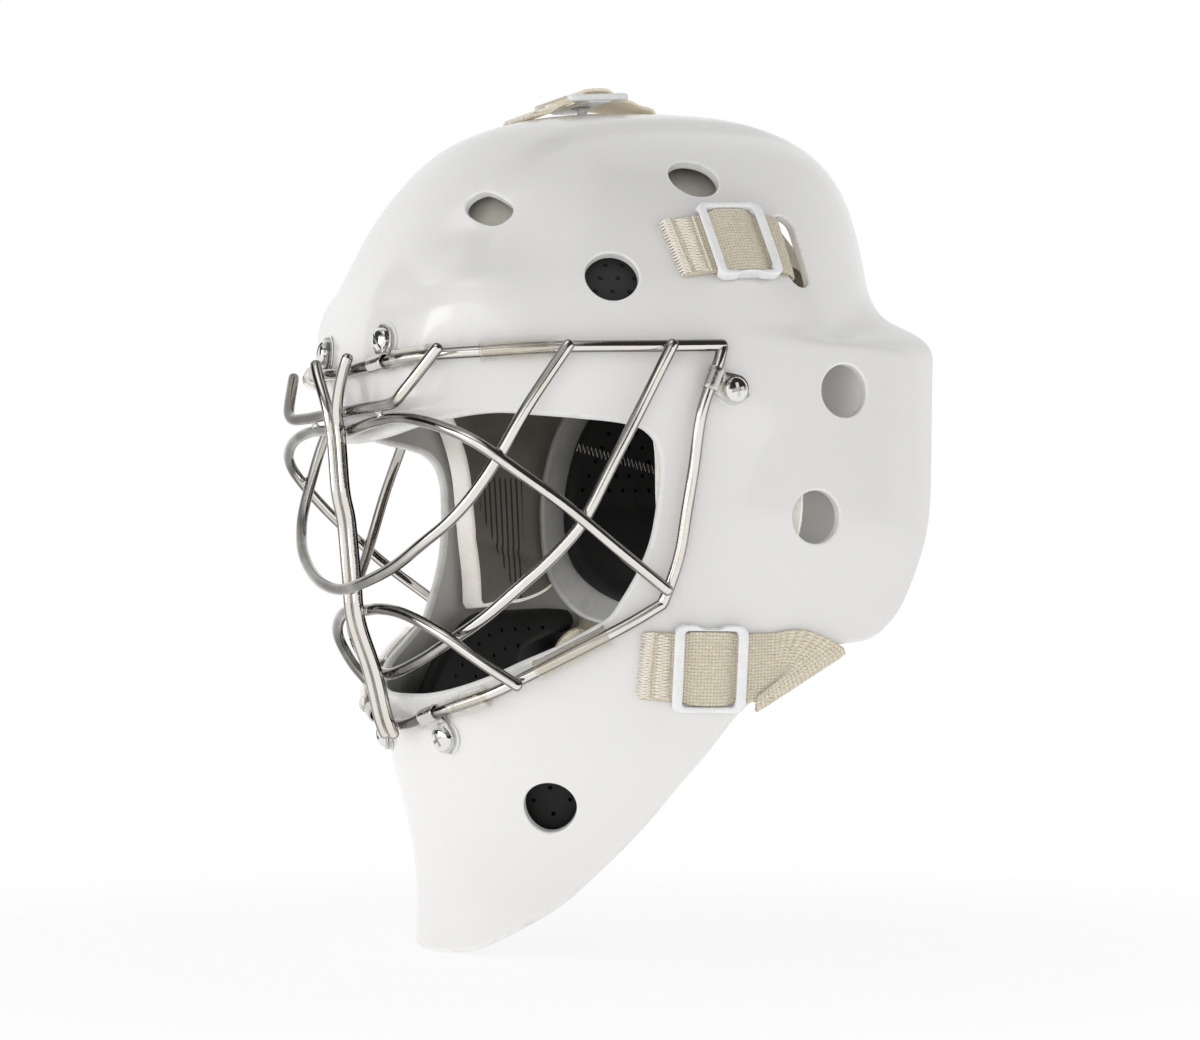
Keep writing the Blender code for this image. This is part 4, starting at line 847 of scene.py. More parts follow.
class Graph:
    """A node tree and short ways to add nodes to it."""

    def __init__(self, tree, output):
        self.tree = tree
        tree.nodes.clear()
        self.out = self.node(output, pick=None)
        self.coord = None

    def node(self, kind, feeds=None, pick=0, **settings):
        """Add a node, feed its inputs and give its output `pick`, or itself for None."""
        made = self.tree.nodes.new(kind)
        for name, setting in settings.items():
            setattr(made, name, setting)
        for key, value in (feeds or {}).items():
            self.feed(made.inputs[key], value)
        return made if pick is None else Value(self, made, pick)

    def feed(self, socket, value):
        if isinstance(value, Value):
            self.tree.links.new(value.output, socket)
        else:
            socket.default_value = (*value, 1) if socket.type == 'RGBA' else value

    def finish(self, shader):
        self.feed(self.out.inputs[0], shader)

    def place(self):
        """Object coordinates: metres from the middle of the mask's underside."""
        if self.coord is None:
            self.coord = self.node('ShaderNodeTexCoord', pick='Object')
        return self.coord

    def uv(self):
        return self.node('ShaderNodeUVMap', uv_map='weave')

    def scaled(self, vector, by):
        return self.node('ShaderNodeVectorMath', {0: vector, 1: by}, operation='MULTIPLY')

    def split(self, vector):
        made = self.node('ShaderNodeSeparateXYZ', {0: vector}).node
        return [Value(self, made, k) for k in range(3)]

    def noise(self, scale, detail=3, rough=0.55, vector=None):
        feeds = {'Vector': vector or self.place(), 'Scale': scale, 'Detail': detail,
                 'Roughness': rough}
        return self.node('ShaderNodeTexNoise', feeds, 'Fac')

    def patches(self, scale, over, to=(0.0, 1.0), **kind):
        """Noise with its range `over` stretched to `to`."""
        return self.ramp(self.noise(scale, **kind), over, to)

    def ramp(self, value, over, to=(0.0, 1.0)):
        return self.node('ShaderNodeMapRange', dict(enumerate((value, *over, *to))),
                         interpolation_type='SMOOTHSTEP')

    def window(self, value, rise, fall):
        """One between the two ramps, zero outside them."""
        return self.ramp(value, rise) * self.ramp(value, fall, FALL)

    def math(self, operation, a, b=None, clamp=False):
        feeds = {0: a} if b is None else {0: a, 1: b}
        return self.node('ShaderNodeMath', feeds, operation=operation, use_clamp=clamp)

    def mix(self, factor, a, b):
        return self.node('ShaderNodeMix', {0: factor, 6: a, 7: b}, 2, data_type='RGBA')

    def facing(self, blend):
        return self.node('ShaderNodeLayerWeight', {0: blend}, 'Facing')

    def bump(self, height, depth, strength):
        feeds = {'Strength': strength, 'Distance': depth, 'Height': height}
        return self.node('ShaderNodeBump', feeds)


class Look(Graph):
    """A material's graph, with a Principled shader unless `rough` is left out."""

    def __init__(self, name, color, rough=None, metal=0.0, **inputs):
        self.mat = bpy.data.materials.new(name)
        self.mat.use_nodes = True
        self.mat.diffuse_color = (*color, 1)
        super().__init__(self.mat.node_tree, 'ShaderNodeOutputMaterial')
        if rough is not None:
            self.shader = self.node('ShaderNodeBsdfPrincipled')
            self.finish(self.shader)
            self.put(Base_Color=color, Roughness=rough, Metallic=metal, **inputs)

    def put(self, **inputs):
        """Feed the shader's inputs, underscores for blanks; gives the material."""
        for name, value in inputs.items():
            self.feed(self.shader.node.inputs[name.replace('_', ' ')], value)
        return self.mat


# ---------------------------------------------------------------- materials
def look_shell():
    """Gloss white gelcoat with faint orange peel and scuffs."""
    look = Look('shell_gloss_white', (0.81, 0.80, 0.785), rough=0.26, Coat_Weight=0.8,
                Coat_Roughness=0.05, Coat_IOR=1.5)
    scuff = look.patches(scale=900, detail=5, rough=0.7, over=(0.70, 0.78),
                         vector=look.scaled(look.place(), by=(1.0, 0.25, 0.6)))
    return look.put(
        Base_Color=look.mix(look.patches(scale=7, detail=2, over=(0.35, 0.7)),
                            (0.811, 0.802, 0.786), (0.807, 0.798, 0.781)),
        Roughness=look.patches(scale=60, over=(0.3, 0.75), to=(0.26, 0.27)),
        Normal=look.bump(look.noise(scale=300, detail=2, rough=0.5), depth=0.00003,
                         strength=0.25),
        Coat_Roughness=scuff * 0.02 + 0.05)


def look_rim():
    look = Look('shell_edge_white', (0.83, 0.825, 0.80), rough=0.3, Coat_Weight=0.5,
                Coat_Roughness=0.1)
    return look.put(
        Base_Color=look.mix(look.patches(scale=160, detail=4, rough=0.65, over=(0.45, 0.75)),
                            (0.84, 0.835, 0.815), (0.74, 0.725, 0.68)),
        Roughness=look.patches(scale=300, over=(0.3, 0.7), to=(0.25, 0.45)),
        Normal=look.bump(look.noise(scale=500), depth=0.00015, strength=0.3))


def look_plate_inside():
    """The plate's inner face and edge: bare grey moulding, paler low down."""
    look = Look('plate_inside_grey', (0.45, 0.445, 0.43), rough=0.4, Coat_Weight=0.2)
    _x, _y, z = look.split(look.place())
    tone = look.mix(look.ramp(z, over=(0.132, 0.158)), (0.64, 0.635, 0.62), (0.41, 0.405, 0.39))
    grime = look.patches(scale=90, detail=4, rough=0.65, over=(0.4, 0.7)) * 0.25
    return look.put(
        Base_Color=look.mix(grime, tone, (0.18, 0.175, 0.165)),
        Roughness=look.patches(scale=300, over=(0.3, 0.7), to=(0.3, 0.5)),
        Normal=look.bump(look.noise(scale=500), depth=0.00015, strength=0.4))


def look_inner():
    """Woven laminate under a thin grey gelcoat, darker down in the chin."""
    look = Look('shell_inside_grey', (0.30, 0.30, 0.295), rough=0.42, Coat_Weight=0.25,
                Coat_Roughness=0.25)
    _x, y, z = look.split(look.place())
    tone = look.mix(look.patches(scale=40, detail=4, over=(0.35, 0.7)),
                    (0.50, 0.495, 0.48), (0.55, 0.545, 0.53))
    tone = look.mix(look.ramp(z, over=(0.095, 0.125)), (0.15, 0.15, 0.148), tone)
    low_rear = look.ramp(z, (0.118, 0.130), FALL) * look.ramp(y, over=(-0.022, -0.004))
    waves = 2200.0     # radians per metre
    cloth = look.math('SINE', y * waves) * look.math('SINE', z * waves)
    return look.put(
        Base_Color=look.mix(low_rear, tone, (0.022, 0.022, 0.022)),
        Normal=look.bump(cloth * 0.25 + look.noise(scale=300, rough=0.6), depth=0.00025,
                         strength=0.5))


def look_steel(name, base, rough, tint, flank=0.0):
    """Polished steel with warm clouds; flank paints a dark reflection in a band along each side
    of a wire.
    """
    look = Look(name, base, rough, metal=1.0)
    cloud = look.patches(scale=70, detail=4, rough=0.6, over=(0.45, 0.72))
    warm = (base[0] * 0.90, base[1] * 0.84, base[2] * 0.70)
    color = look.mix(cloud * tint, base, warm)
    if flank:
        # painted reflection: a band along each side of the wire, picked by how it faces the
        # camera, is darkened as if it mirrored a dark studio
        facing = look.facing(blend=0.5)
        side = (look.ramp(facing, over=(0.20, 0.42))
                * look.ramp(facing, over=(0.62, 0.85), to=(1.0, 0.45)))
        painted_dark_band = side * look.patches(scale=30, rough=0.6, over=(0.3, 0.6), to=(0.7, 1.0))
        color = look.mix(painted_dark_band * flank, color, (0.045, 0.042, 0.038))
    return look.put(
        Base_Color=color,
        Roughness=look.patches(scale=260, detail=5, rough=0.7, over=(0.3, 0.75),
                               vector=look.scaled(look.place(), by=(1.0, 1.0, 4.0)),
                               to=(rough * 0.7, rough * 1.9)),
        Normal=look.bump(look.noise(scale=520, detail=4, rough=0.65), depth=0.00006,
                         strength=0.45))


def look_vinyl():
    """Clear tube: it only shows by its gloss and its bright edges."""
    look = Look('clear_vinyl_tube', (0.95, 0.945, 0.90))
    clear = look.node('ShaderNodeBsdfTransparent', {0: (0.925, 0.915, 0.885)})
    gloss = look.node('ShaderNodeBsdfGlossy', {
        'Roughness': 0.07, 'Color': (0.97, 0.96, 0.93),
        'Normal': look.bump(look.noise(scale=150), depth=0.0002, strength=0.2)})
    share = look.ramp(look.facing(blend=0.35), over=(0.06, 0.85), to=(0.09, 0.85))
    share = share + look.patches(scale=90, over=(0.5, 0.75)) * 0.03
    look.finish(look.node('ShaderNodeMixShader', {0: share, 1: clear, 2: gloss}))
    return look.mat


def look_plastic():
    look = Look('buckle_plastic_white', (0.86, 0.865, 0.87), rough=0.3, Subsurface_Weight=0.15,
                Subsurface_Scale=0.002, Subsurface_Radius=(1.0, 1.0, 1.0))
    return look.put(
        Base_Color=look.mix(look.patches(scale=120, over=(0.4, 0.75)),
                            (0.87, 0.875, 0.88), (0.81, 0.81, 0.81)),
        Roughness=look.patches(scale=500, over=(0.3, 0.7), to=(0.24, 0.42)),
        Normal=look.bump(look.noise(scale=900, detail=2), depth=0.00004, strength=0.5))


def look_webbing(name, relief, glow=0.0):
    """Beige knitted elastic: staggered rows of little loops, in the strap's own millimetres."""
    look = Look(name, (0.76, 0.67, 0.50), rough=0.85, Sheen_Weight=0.25, Sheen_Roughness=0.5)
    pitch_x, pitch_y = 1.3, 1.15
    u, v, _ = look.split(look.uv())
    row_waver = (look.noise(scale=1.1, rough=0.6, vector=look.uv()) - 0.5) * 1.1
    row = v / pitch_y + row_waver
    stagger = look.math('PINGPONG', row, 0.5) * 1.0
    stretched = look.scaled(look.uv(), by=(1.0, 1.7, 1.0))
    column_waver = (look.noise(scale=0.9, rough=0.6, vector=stretched) - 0.5) * 1.3
    column = u / pitch_x + (stagger + column_waver)
    x = look.math('FRACT', column) - 0.5
    y = look.math('FRACT', row) - 0.5
    knit = look.math('SUBTRACT', 1.0, x * x * 3.2 + y * y * 3.2, clamp=True) ** 0.6
    fuzz = look.noise(scale=6, detail=4, rough=0.75, vector=look.uv())
    tone = look.mix(look.patches(scale=0.4, rough=0.6, vector=look.uv(), over=(0.3, 0.7)),
                    (0.95, 0.865, 0.67), (0.90, 0.81, 0.61))
    tone = look.mix(fuzz * 0.4, tone, (0.97, 0.93, 0.82))
    # glow paints light: a faint cream emission that brightens the band as if it were lit
    if glow:
        look.put(Emission_Color=(1.0, 0.93, 0.76), Emission_Strength=glow)
    return look.put(
        # the gaps between the loops are painted darker: painted shade in the knit's hollows
        Base_Color=look.mix(look.ramp(knit, over=(0.15, 0.75)), (0.70, 0.595, 0.42), tone),
        Normal=look.bump(knit + fuzz * 0.6, depth=0.00055, strength=relief))


def look_thread():
    look = Look('hem_thread_cream', (0.92, 0.87, 0.76), rough=0.7, Sheen_Weight=0.3)
    return look.put(
        Base_Color=look.mix(look.noise(scale=400), (0.88, 0.81, 0.68), (0.96, 0.93, 0.86)),
        Normal=look.bump(look.noise(scale=2500, detail=2), depth=0.0001, strength=0.6))


def look_foam(name, base, dark, stripes=False, rough=0.85, sheen=0.15, gloss=0.5):
    """Foam in two tones; stripes adds dark lines in a window over the side liner."""
    look = Look(name, base, rough, Sheen_Weight=sheen, Specular_IOR_Level=gloss)
    color = look.mix(look.patches(scale=35, detail=4, over=(0.35, 0.7)), base, dark)
    if stripes:
        _x, y, z = look.split(look.place())
        pitch = 2.9    # mm
        count = y * (1000.0 / pitch) + z * 9.0
        line = look.ramp(look.math('PINGPONG', count, 0.5), (0.14, 0.20), FALL)
        low = z + y * 2.0
        area = look.ramp(low, over=(0.152, 0.1545)) * look.ramp(z, (0.187, 0.1885), FALL)
        area = area * look.window(y, rise=(-0.0105, -0.0100), fall=(0.0125, 0.0130))
        color = look.mix(line * area * 0.92, color, (0.012, 0.012, 0.013))
    grain = look.noise(scale=1200, detail=2, rough=0.6) + look.noise(scale=220) * 0.8
    return look.put(Base_Color=color, Normal=look.bump(grain, depth=0.0002, strength=0.6))


def look_fleece():
    look = Look('sweatband_fleece_grey', (0.07, 0.07, 0.078), rough=0.95, Sheen_Weight=0.6,
                Sheen_Roughness=0.4)
    return look.put(
        Base_Color=look.mix(look.noise(scale=600, detail=4, rough=0.7),
                            (0.045, 0.045, 0.05), (0.12, 0.12, 0.13)),
        Normal=look.bump(look.noise(scale=1500, rough=0.7) + look.noise(scale=300),
                         depth=0.0005, strength=0.8))


def look_cream():
    look = Look('foam_cut_edge_cream', (0.72, 0.69, 0.60), rough=0.75, Subsurface_Weight=0.1,
                Subsurface_Scale=0.002)
    cells = look.node('ShaderNodeTexVoronoi', {'Vector': look.place(), 'Scale': 1500},
                      'Distance', feature='F1')
    return look.put(
        Base_Color=look.mix(look.patches(scale=180, detail=4, over=(0.35, 0.7)),
                            (0.93, 0.915, 0.86), (0.86, 0.835, 0.75)),
        # painted light: a faint emission brightens the cut foam edge as if it were lit from the
        # front
        Emission_Color=(1.0, 0.97, 0.88), Emission_Strength=0.13,
        Normal=look.bump(cells + look.noise(scale=300), depth=0.00035, strength=0.6))


def look_liner_back():
    """The liner's face against the shell: cream foam, black and perforated high up."""
    look = Look('liner_back_cream_and_black', (0.8, 0.78, 0.7), rough=0.8, Sheen_Weight=0.1)
    pitch_y, pitch_z = 0.0060, 0.0052    # metres between dots
    _x, y, z = look.split(look.place())
    black = look.ramp(z, over=(0.2275, 0.2285))
    row = z / pitch_z
    column = y / pitch_y + look.math('FLOOR', row) * 0.5
    across = (look.math('FRACT', column) - 0.5) * 6.0
    up = (look.math('FRACT', row) - 0.5) * 5.2
    # each perforation is a dip in the bump painted near black: painted shade inside the hole
    dot = look.ramp(look.math('SQRT', across * across + up * up), (0.75, 1.0), FALL)
    dark = look.mix(dot, (0.032, 0.032, 0.033), (0.003, 0.003, 0.003))
    pale = look.mix(look.patches(scale=180, detail=4, over=(0.35, 0.7)),
                    (0.86, 0.84, 0.78), (0.74, 0.71, 0.62))
    height = look.noise(scale=1300, detail=2, rough=0.6) - dot * black * 3.0
    return look.put(Base_Color=look.mix(black, pale, dark),
                    Normal=look.bump(height, depth=0.0003, strength=0.6))


SHELL, RIM, INNER, PLATE_IN = look_shell(), look_rim(), look_inner(), look_plate_inside()
STEEL = look_steel('stainless_wire', (0.80, 0.775, 0.735), rough=0.065, tint=0.4, flank=0.85)
CLIP = look_steel('clip_pressed_steel', (0.66, 0.645, 0.62), rough=0.2, tint=0.3)
SCREW = look_steel('screw_polished_steel', (0.82, 0.81, 0.79), rough=0.09, tint=0.15)
VINYL, PLASTIC = look_vinyl(), look_plastic()
WEB = look_webbing('elastic_webbing_beige', relief=0.9)
THREAD = look_thread()
# the top strap's band glows faintly: painted light that brightens it where it lies in shade
WEB_TOP = look_webbing('elastic_webbing_pale', relief=0.45, glow=0.10)
TAUPE = look_foam('liner_taupe', (0.22, 0.198, 0.163), (0.175, 0.155, 0.125))
TAUPE_LINES = look_foam('liner_taupe_ribbed', (0.178, 0.16, 0.132), (0.138, 0.122, 0.098),
                        stripes=True)
BLACK = look_foam('liner_black', (0.016, 0.016, 0.0155), (0.011, 0.011, 0.0105), rough=0.62,
                  sheen=0.0, gloss=0.2)
MOULDED = look_foam('crown_moulded_foam', (0.72, 0.69, 0.62), (0.62, 0.59, 0.52))
CREAM, FLEECE, LINER_BACK = look_cream(), look_fleece(), look_liner_back()


# ---------------------------------------------------------------- shell
def under_lip(ring):
    """Flatten a front vent's ring: the scoop's lip lies over its upper part."""
    points = surface(ring)[0]
    mid = points.mean(0)
    out = unit(mid - CENTRE)
    up = unit(np.array([0.0, 0, 1]) - out * out[2])
    return to_dir(points - up * (((points - mid) @ up) * 0.40)[:, None] - up * 1.6)


def shell_edges():
    """(loop, rounding, clearance) of the shell's outline, face opening and holes."""
    edges = [(loop_on(mirror_loop(TRIM), 2.6), 1.6, 1.5),
             (loop_on(mirror_loop(EYE), 2.0), 1.75, 1.3)]
    for kind, place in VENTS.items():
        for centre in (place, mirror(place)):
            ring = circle_on(centre, VENT_R, 44)
            edges.append((under_lip(ring) if kind == 'front' else ring, 0.9, 1.0))
    holes = []
    for place in list(SCREWS.values()) + [BUCKLES[kind][0] for kind in ('upper', 'lower')]:
        holes += [place, mirror(place)]
    holes.append(BUCKLES['top'][0])
    edges += [(circle_on(hole, SCREW_HOLE_R), 0.3, 0.8) for hole in holes]
    for kind, distance in SLOT_AT.items():
        (origin, run, across, _out), _height = BUCKLE_SEATS[kind]
        slots = [(origin + distance * run, across)]
        if kind != 'top':
            slots.append((mirror(slots[0][0]), mirror(across)))
        edges += [(slot_on(centre, along, SLOT_LEN / 2, SLOT_W / 2), 1.0, 1.0)
                  for centre, along in slots]
    return edges


shell = rimmed('shell_visual', shell_edges(), 40000, 0.0, -SHELL_T,
               [SHELL, INNER, RIM], reach=scooped_reach, custom=True)
show(shell, 'shell')


# ---------------------------------------------------------------- cage
WIRE_POINTS = 160
# (outer, inner, the outer wire's share of the move) where wires cross
LAYERS = [
    ('brow_bar', 'top_bar', 1), ('upper_u_bar', 'top_bar', 1), ('lower_u_bar', 'top_bar', 1),
    ('upper_arch', 'side_bar_left', 1), ('upper_arch', 'side_bar_right', 1),
    ('upper_arch', 'bottom_bar', 1), ('lower_arch', 'bottom_bar', 1),
    ('lower_u_bar', 'bottom_bar', 1), ('upper_arch', 'upper_u_bar', 0.5),
    ('upper_arch', 'lower_u_bar', 0.5), ('upper_u_bar', 'lower_arch', 1)]
for _bar in ('centre_bar_left', 'centre_bar_right'):
    LAYERS += [(_bar, 'top_bar', 1), (_bar, 'bottom_bar', 1), (_bar, 'brow_bar', 0.5),
               (_bar, 'upper_arch', 0.5), (_bar, 'lower_arch', 1), (_bar, 'lower_u_bar', 1),
               ('upper_u_bar', _bar, 1)]


def whole_wire(half):
    half = np.asarray(half, float)
    return spline(np.vstack([mirror(half)[::-1][:-1], half]), WIRE_POINTS)


def seated(ctrl):
    """A perimeter wire's points, off the shell by a fixed distance."""
    points, _ = on_shell(ctrl, WIRE_LIFT)
    points[np.abs(np.asarray(ctrl)[:, 0]) < 1e-6, 0] = 0
    return points


def ease_apart(wires, apart):
    """Move crossing wires along the line from CENTRE until their axes are `apart` clear."""
    for _ in range(40):
        moved = False
        for outer, inner, share in LAYERS:
            above, below = wires[outer], wires[inner]
            gaps = np.linalg.norm(above[:, None] - below[None], axis=2)
            for side in (1, -1):
                masked = np.where((side * above[:, 0] > -1e-6)[:, None], gaps, 1e9)
                i, j = np.unravel_index(masked.argmin(), masked.shape)
                out = unit(above[i] - CENTRE)
                apart_now = above[i] - below[j]
                height = apart_now @ out
                lateral = np.linalg.norm(apart_now - height * out)
                if lateral > apart:
                    continue
                lack = math.sqrt(max(apart ** 2 - lateral ** 2, 0.0)) - height
                if lack <= 0.02:
                    continue
                moved = True
                for wire, at, part in ((above, i, share), (below, j, share - 1)):
                    if part:
                        away = np.linalg.norm(wire - wire[at], axis=1)
                        wire += (part * lack * np.exp(-(away / 17.0) ** 2))[:, None] * out
        if not moved:
            break


def build_cage():
    wires = {
        'top_bar': whole_wire(seated(TOP_BAR)),
        'bottom_bar': whole_wire(seated(BOTTOM_BAR)),
        'side_bar_left': spline(seated(SIDE_BAR), WIRE_POINTS),
        'brow_bar': whole_wire(BROW_BAR),
        'upper_arch': whole_wire(UPPER_ARCH),
        'upper_u_bar': whole_wire(UPPER_U),
        'lower_u_bar': whole_wire(LOWER_U),
        'lower_arch': whole_wire(LOWER_ARCH),
        'centre_bar_left': spline(CENTRE_BAR, WIRE_POINTS),
    }
    for name in ('side_bar', 'centre_bar'):
        wires[name + '_right'] = mirror(wires[name + '_left'])
    ease_apart(wires, 2 * WIRE_R + WIRE_GAP)
    # keep the two halves mirror images
    for name, wire in list(wires.items()):
        if name.endswith('_left'):
            mean = 0.5 * (wire + mirror(wires[right_of(name)]))
            wires[name], wires[right_of(name)] = mean, mirror(mean)
        elif not name.endswith('_right'):
            wires[name] = 0.5 * (wire + mirror(wire)[::-1])
    return wires


CAGE = build_cage()


def bent_side_bar(name, points):
    """A side bar with its ends bent over to the ends of the top and bottom bars."""
    side = np.array([1.0 if name.endswith('left') else -1.0, 1, 1])
    top, bottom = CAGE['top_bar'][-1] * side, CAGE['bottom_bar'][-1] * side
    first, last = points[0], points[-1]
    return spline(np.vstack([top + (first - top) * 0.12, points[::12], points[-1:],
                             last + (bottom - last) * 0.62, bottom + (last - bottom) * 0.06]),
                  WIRE_POINTS + 1)


for name, points in CAGE.items():
    if name.startswith('side_bar'):
        points = bent_side_bar(name, points)
    smooth = spline(np.vstack([points[:-1:4], points[-1:]]), 400)
    fine = resample(smooth, max(40, int(length(points) / 1.8)))
    wire = mesh_object('wire_' + name, *tube(fine, WIRE_R, 20), [STEEL], angle=60)
    show(wire, 'cage_' + name)


def crossings():
    """Where two wires touch: the middle, the line through both, and each one's run."""
    def run_at(wire, i):
        return unit(wire[min(i + 1, len(wire) - 1)] - wire[max(i - 1, 0)])
    found = []
    names = sorted(CAGE)
    for number, name in enumerate(names):
        for other in names[number + 1:]:
            a, b = CAGE[name], CAGE[other]
            gaps = np.linalg.norm(a[:, None] - b[None], axis=2)
            while True:
                i, j = np.unravel_index(gaps.argmin(), gaps.shape)
                if gaps[i, j] > 2 * WIRE_R + 1.3:
                    break
                found.append((0.5 * (a[i] + b[j]), unit(a[i] - b[j]), run_at(a, i), run_at(b, j)))
                gaps[np.linalg.norm(a - a[i], axis=1) < 16] = 1e9
    return found


# height through the crossing, radius
WELD_PROFILE = [(-1.7, 0.2), (-1.45, 1.5), (-0.9, 1.55), (-0.4, 1.2), (0.0, 1.1), (0.4, 1.2),
                (0.9, 1.55), (1.45, 1.5), (1.7, 0.2)]


def weld(mid, through, run_a, run_b):
    """A puddle of weld metal in the crook of two wires, longest along their mean run."""
    _, along, across, _ = frame_at(mid, through, run_a + (run_b if run_a @ run_b > 0 else -run_b))
    n, rings = 14, []
    t = np.arange(n) * 2 * math.pi / n
    wobble = 1 + 0.10 * np.sin(3 * t + 7 * mid[2]) + 0.06 * np.sin(5 * t + mid[0])
    for height, r in WELD_PROFILE:
        rings.append(mid + height * through + (r * 1.25 * np.cos(t) * wobble)[:, None] * along
                     + (r * 0.95 * np.sin(t) * wobble)[:, None] * across)
    return np.vstack(rings), loft(len(rings), n)


welds = mesh_object('cage_weld_beads', *gather([weld(*crossing) for crossing in crossings()]),
                    [CLIP], angle=70)
show(welds)

# ---------------------------------------------------------------- clear sleeves
# name, wire, start and end as shares of the wire
SLEEVES = [('brow_front', 'top_bar', 0.617, 0.667), ('brow_rear', 'top_bar', 0.735, 0.812),
           ('chin_front', 'bottom_bar', 0.652, 0.715), ('chin_rear', 'bottom_bar', 0.803, 0.915)]
for name, wire, start, end in SLEEVES:
    points = CAGE[wire]
    part = points[int(start * (len(points) - 1)):int(end * (len(points) - 1)) + 1]
    fine = resample(part, max(12, int(length(part) / 1.2)))
    s = np.linspace(0, 1, len(fine))
    # cut ends belled a little, the bore drawn down on the wire between them
    flare = 0.30 * np.exp(-(s / 0.05) ** 2) + 0.42 * np.exp(-((s - 1.0) / 0.05) ** 2)
    ripple = 0.05 * np.sin(9 * s + len(name))
    sleeve = mesh_object('sleeve_%s_left' % name,
                         *tube(fine, SLEEVE_R - 0.25 + flare + ripple, 28,
                               bore=SLEEVE_BORE + 0.15 + flare * 0.8), [VINYL], angle=50)
    show_pair(sleeve, 'vinyl_sleeve_%s_left' % name)

# ---------------------------------------------------------------- clips and screws
CLIP_T = 0.8
CLIP_HALF_W = 5.6
# across and through the strip: half widths, thicknesses
STRIP_SECTION = [
    (-1, -0.5), (-0.9, -0.62), (-0.6, -0.62), (0, -0.62), (0.6, -0.62), (0.9, -0.62), (1, -0.5),
    (1, 0.3), (0.93, 0.5), (0.6, 0.5), (0, 0.5), (-0.6, 0.5), (-0.93, 0.5), (-1, 0.3)]
WASHER = [(2.7, 0.06), (6.6, 0.06), (6.9, 0.2), (6.6, 0.36), (2.7, 0.4), (2.7, 0.06)]
NUT_Z = -SHELL_T - 1.1
NUT = [(2.2, 0), (5.2, 0), (5.9, 0.35), (5.9, 0.9), (5.2, 1.3), (3.0, 1.3), (2.6, 0.9),
       (2.2, 0.9), (2.2, 0)]    # radius, depth below NUT_Z


def clip_strip(frame, wire_u, wire_h):
    """A pressed strip under the screw, looped square round a wire and back."""
    loop_r = WIRE_R + 0.55
    heel = wire_u - loop_r
    path = [(x, 0.95) for x in np.linspace(-6.2, max(wire_u - 5.2, 1.0), 8)]
    path += [(wire_u + loop_r * math.cos(a), wire_h + loop_r * math.sin(a))
             for a in np.linspace(math.radians(-112), math.radians(200), 26)]
    path += [(heel - 0.9, wire_h - 1.9), (heel - 2.0, max(1.9, wire_h - 3.2)),
             (heel - 3.4, 1.83)]
    path += [(x, 1.82) for x in np.linspace(min(heel - 4.6, 2.0), -6.0, 7)]
    path = spline(np.array(path), 90)
    along = unit(np.gradient(path, axis=0))
    verts = []
    for (u, h), (du, dh) in zip(path, along):
        if u < -1.0:
            half = math.sqrt(max(CLIP_HALF_W ** 2 - u ** 2, 0.3))
        else:
            half = CLIP_HALF_W - 1.4 * float(ease((u + 1) / max(wire_u - 1, 1)))
        verts += [(u - dh * through * CLIP_T, across * half, h + du * through * CLIP_T)
                  for across, through in STRIP_SECTION]
    return local(frame, verts), loft(len(path), len(STRIP_SECTION))


def pan_screw(kind, frame, turn):
    """A pan head with a slot at the forehead, a cross elsewhere, over a plain shank."""
    profile = [(0, 4.95)]
    profile += [(4.75 * math.sin(a) ** 0.9, 2.7 + 2.25 * math.cos(a) ** 0.8)
                for a in np.linspace(0.18, 1.52, 11)]
    profile += [(4.85, 2.55), (4.7, 2.3), (1.9, 2.28), (1.9, -6.6), (0, -6.7)]
    screw = mesh_object('screw_%s_left' % kind, *lathe(frame, profile, 40), [SCREW], angle=35)
    slotted = kind == 'forehead'
    half_l, half_w = (5.4, 0.55) if slotted else (2.6, 0.62)
    for quarter in (0,) if slotted else (0, math.pi / 2):
        c, s = math.cos(turn + quarter), math.sin(turn + quarter)
        corners = ((-half_l, -half_w), (half_l, -half_w), (half_l, half_w), (-half_l, half_w))
        cut_from(screw, *prism(frame, [(x * c - y * s, x * s + y * c) for x, y in corners],
                               3.5, 7.0))
    screw.data.shade_smooth()
    screw.data.set_sharp_from_angle(angle=math.radians(33))
    return screw


# place, wire held, turn of the screw's slot in radians
for kind, wire, turn in (('forehead', 'top_bar', 0.5), ('temple', 'side_bar_left', 0.6),
                         ('chin', 'bottom_bar', 0.15)):
    point, normal = spot(SCREWS[kind])
    points = CAGE[wire]
    held = points[np.linalg.norm(points - (point + WIRE_LIFT * normal), axis=1).argmin()]
    frame = frame_at(point, normal, held - point)
    strip = clip_strip(frame, (held - point) @ frame[1], (held - point) @ frame[3])
    clip = mesh_object('clip_%s_left' % kind, *strip, [CLIP], angle=40)
    show_pair(clip, 'cage_clip_%s_left' % kind)
    show_pair(pan_screw(kind, frame, turn), 'cage_screw_%s_left' % kind)
    washer = mesh_object('nylon_washer_%s_left' % kind, *lathe(frame, WASHER, 40), [PLASTIC],
                         angle=40)
    show_pair(washer)
    nut = lathe(frame, [(r, NUT_Z - depth) for r, depth in NUT], 24)
    show_pair(mesh_object('nut_%s_left' % kind, *nut, [CLIP], angle=35),
              'tee_nut_%s_left' % kind)

# ---------------------------------------------------------------- straps
# how a strap turns down through its slot: along the strap and out from the shell
SLOT_DIVE = {'upper': [(-3.4, -1.4), (-2.6, -5.6), (-1.6, -9.0), (-0.2, -12.4), (2.2, -16.4)],
             'top': [(-3.4, -1.4), (-2.6, -5.6), (2.5, -8.0), (5.5, -9.2), (10, -9.6)]}
# how the lower strap wraps the shell's edge: past the edge, outward, half width, rearward
EDGE_WRAP = [(-5.0, 1.5, 17.5, 0), (-0.5, 1.6, 20.5, 0), (2.3, 0.4, 21.0, 0),
             (2.9, -2.6, 21.0, 0.5), (1.2, -6.6, 19.0, 3), (-4.0, -8.4, 15.0, 8),
             (-9.0, -9.6, 12.5, 15)]


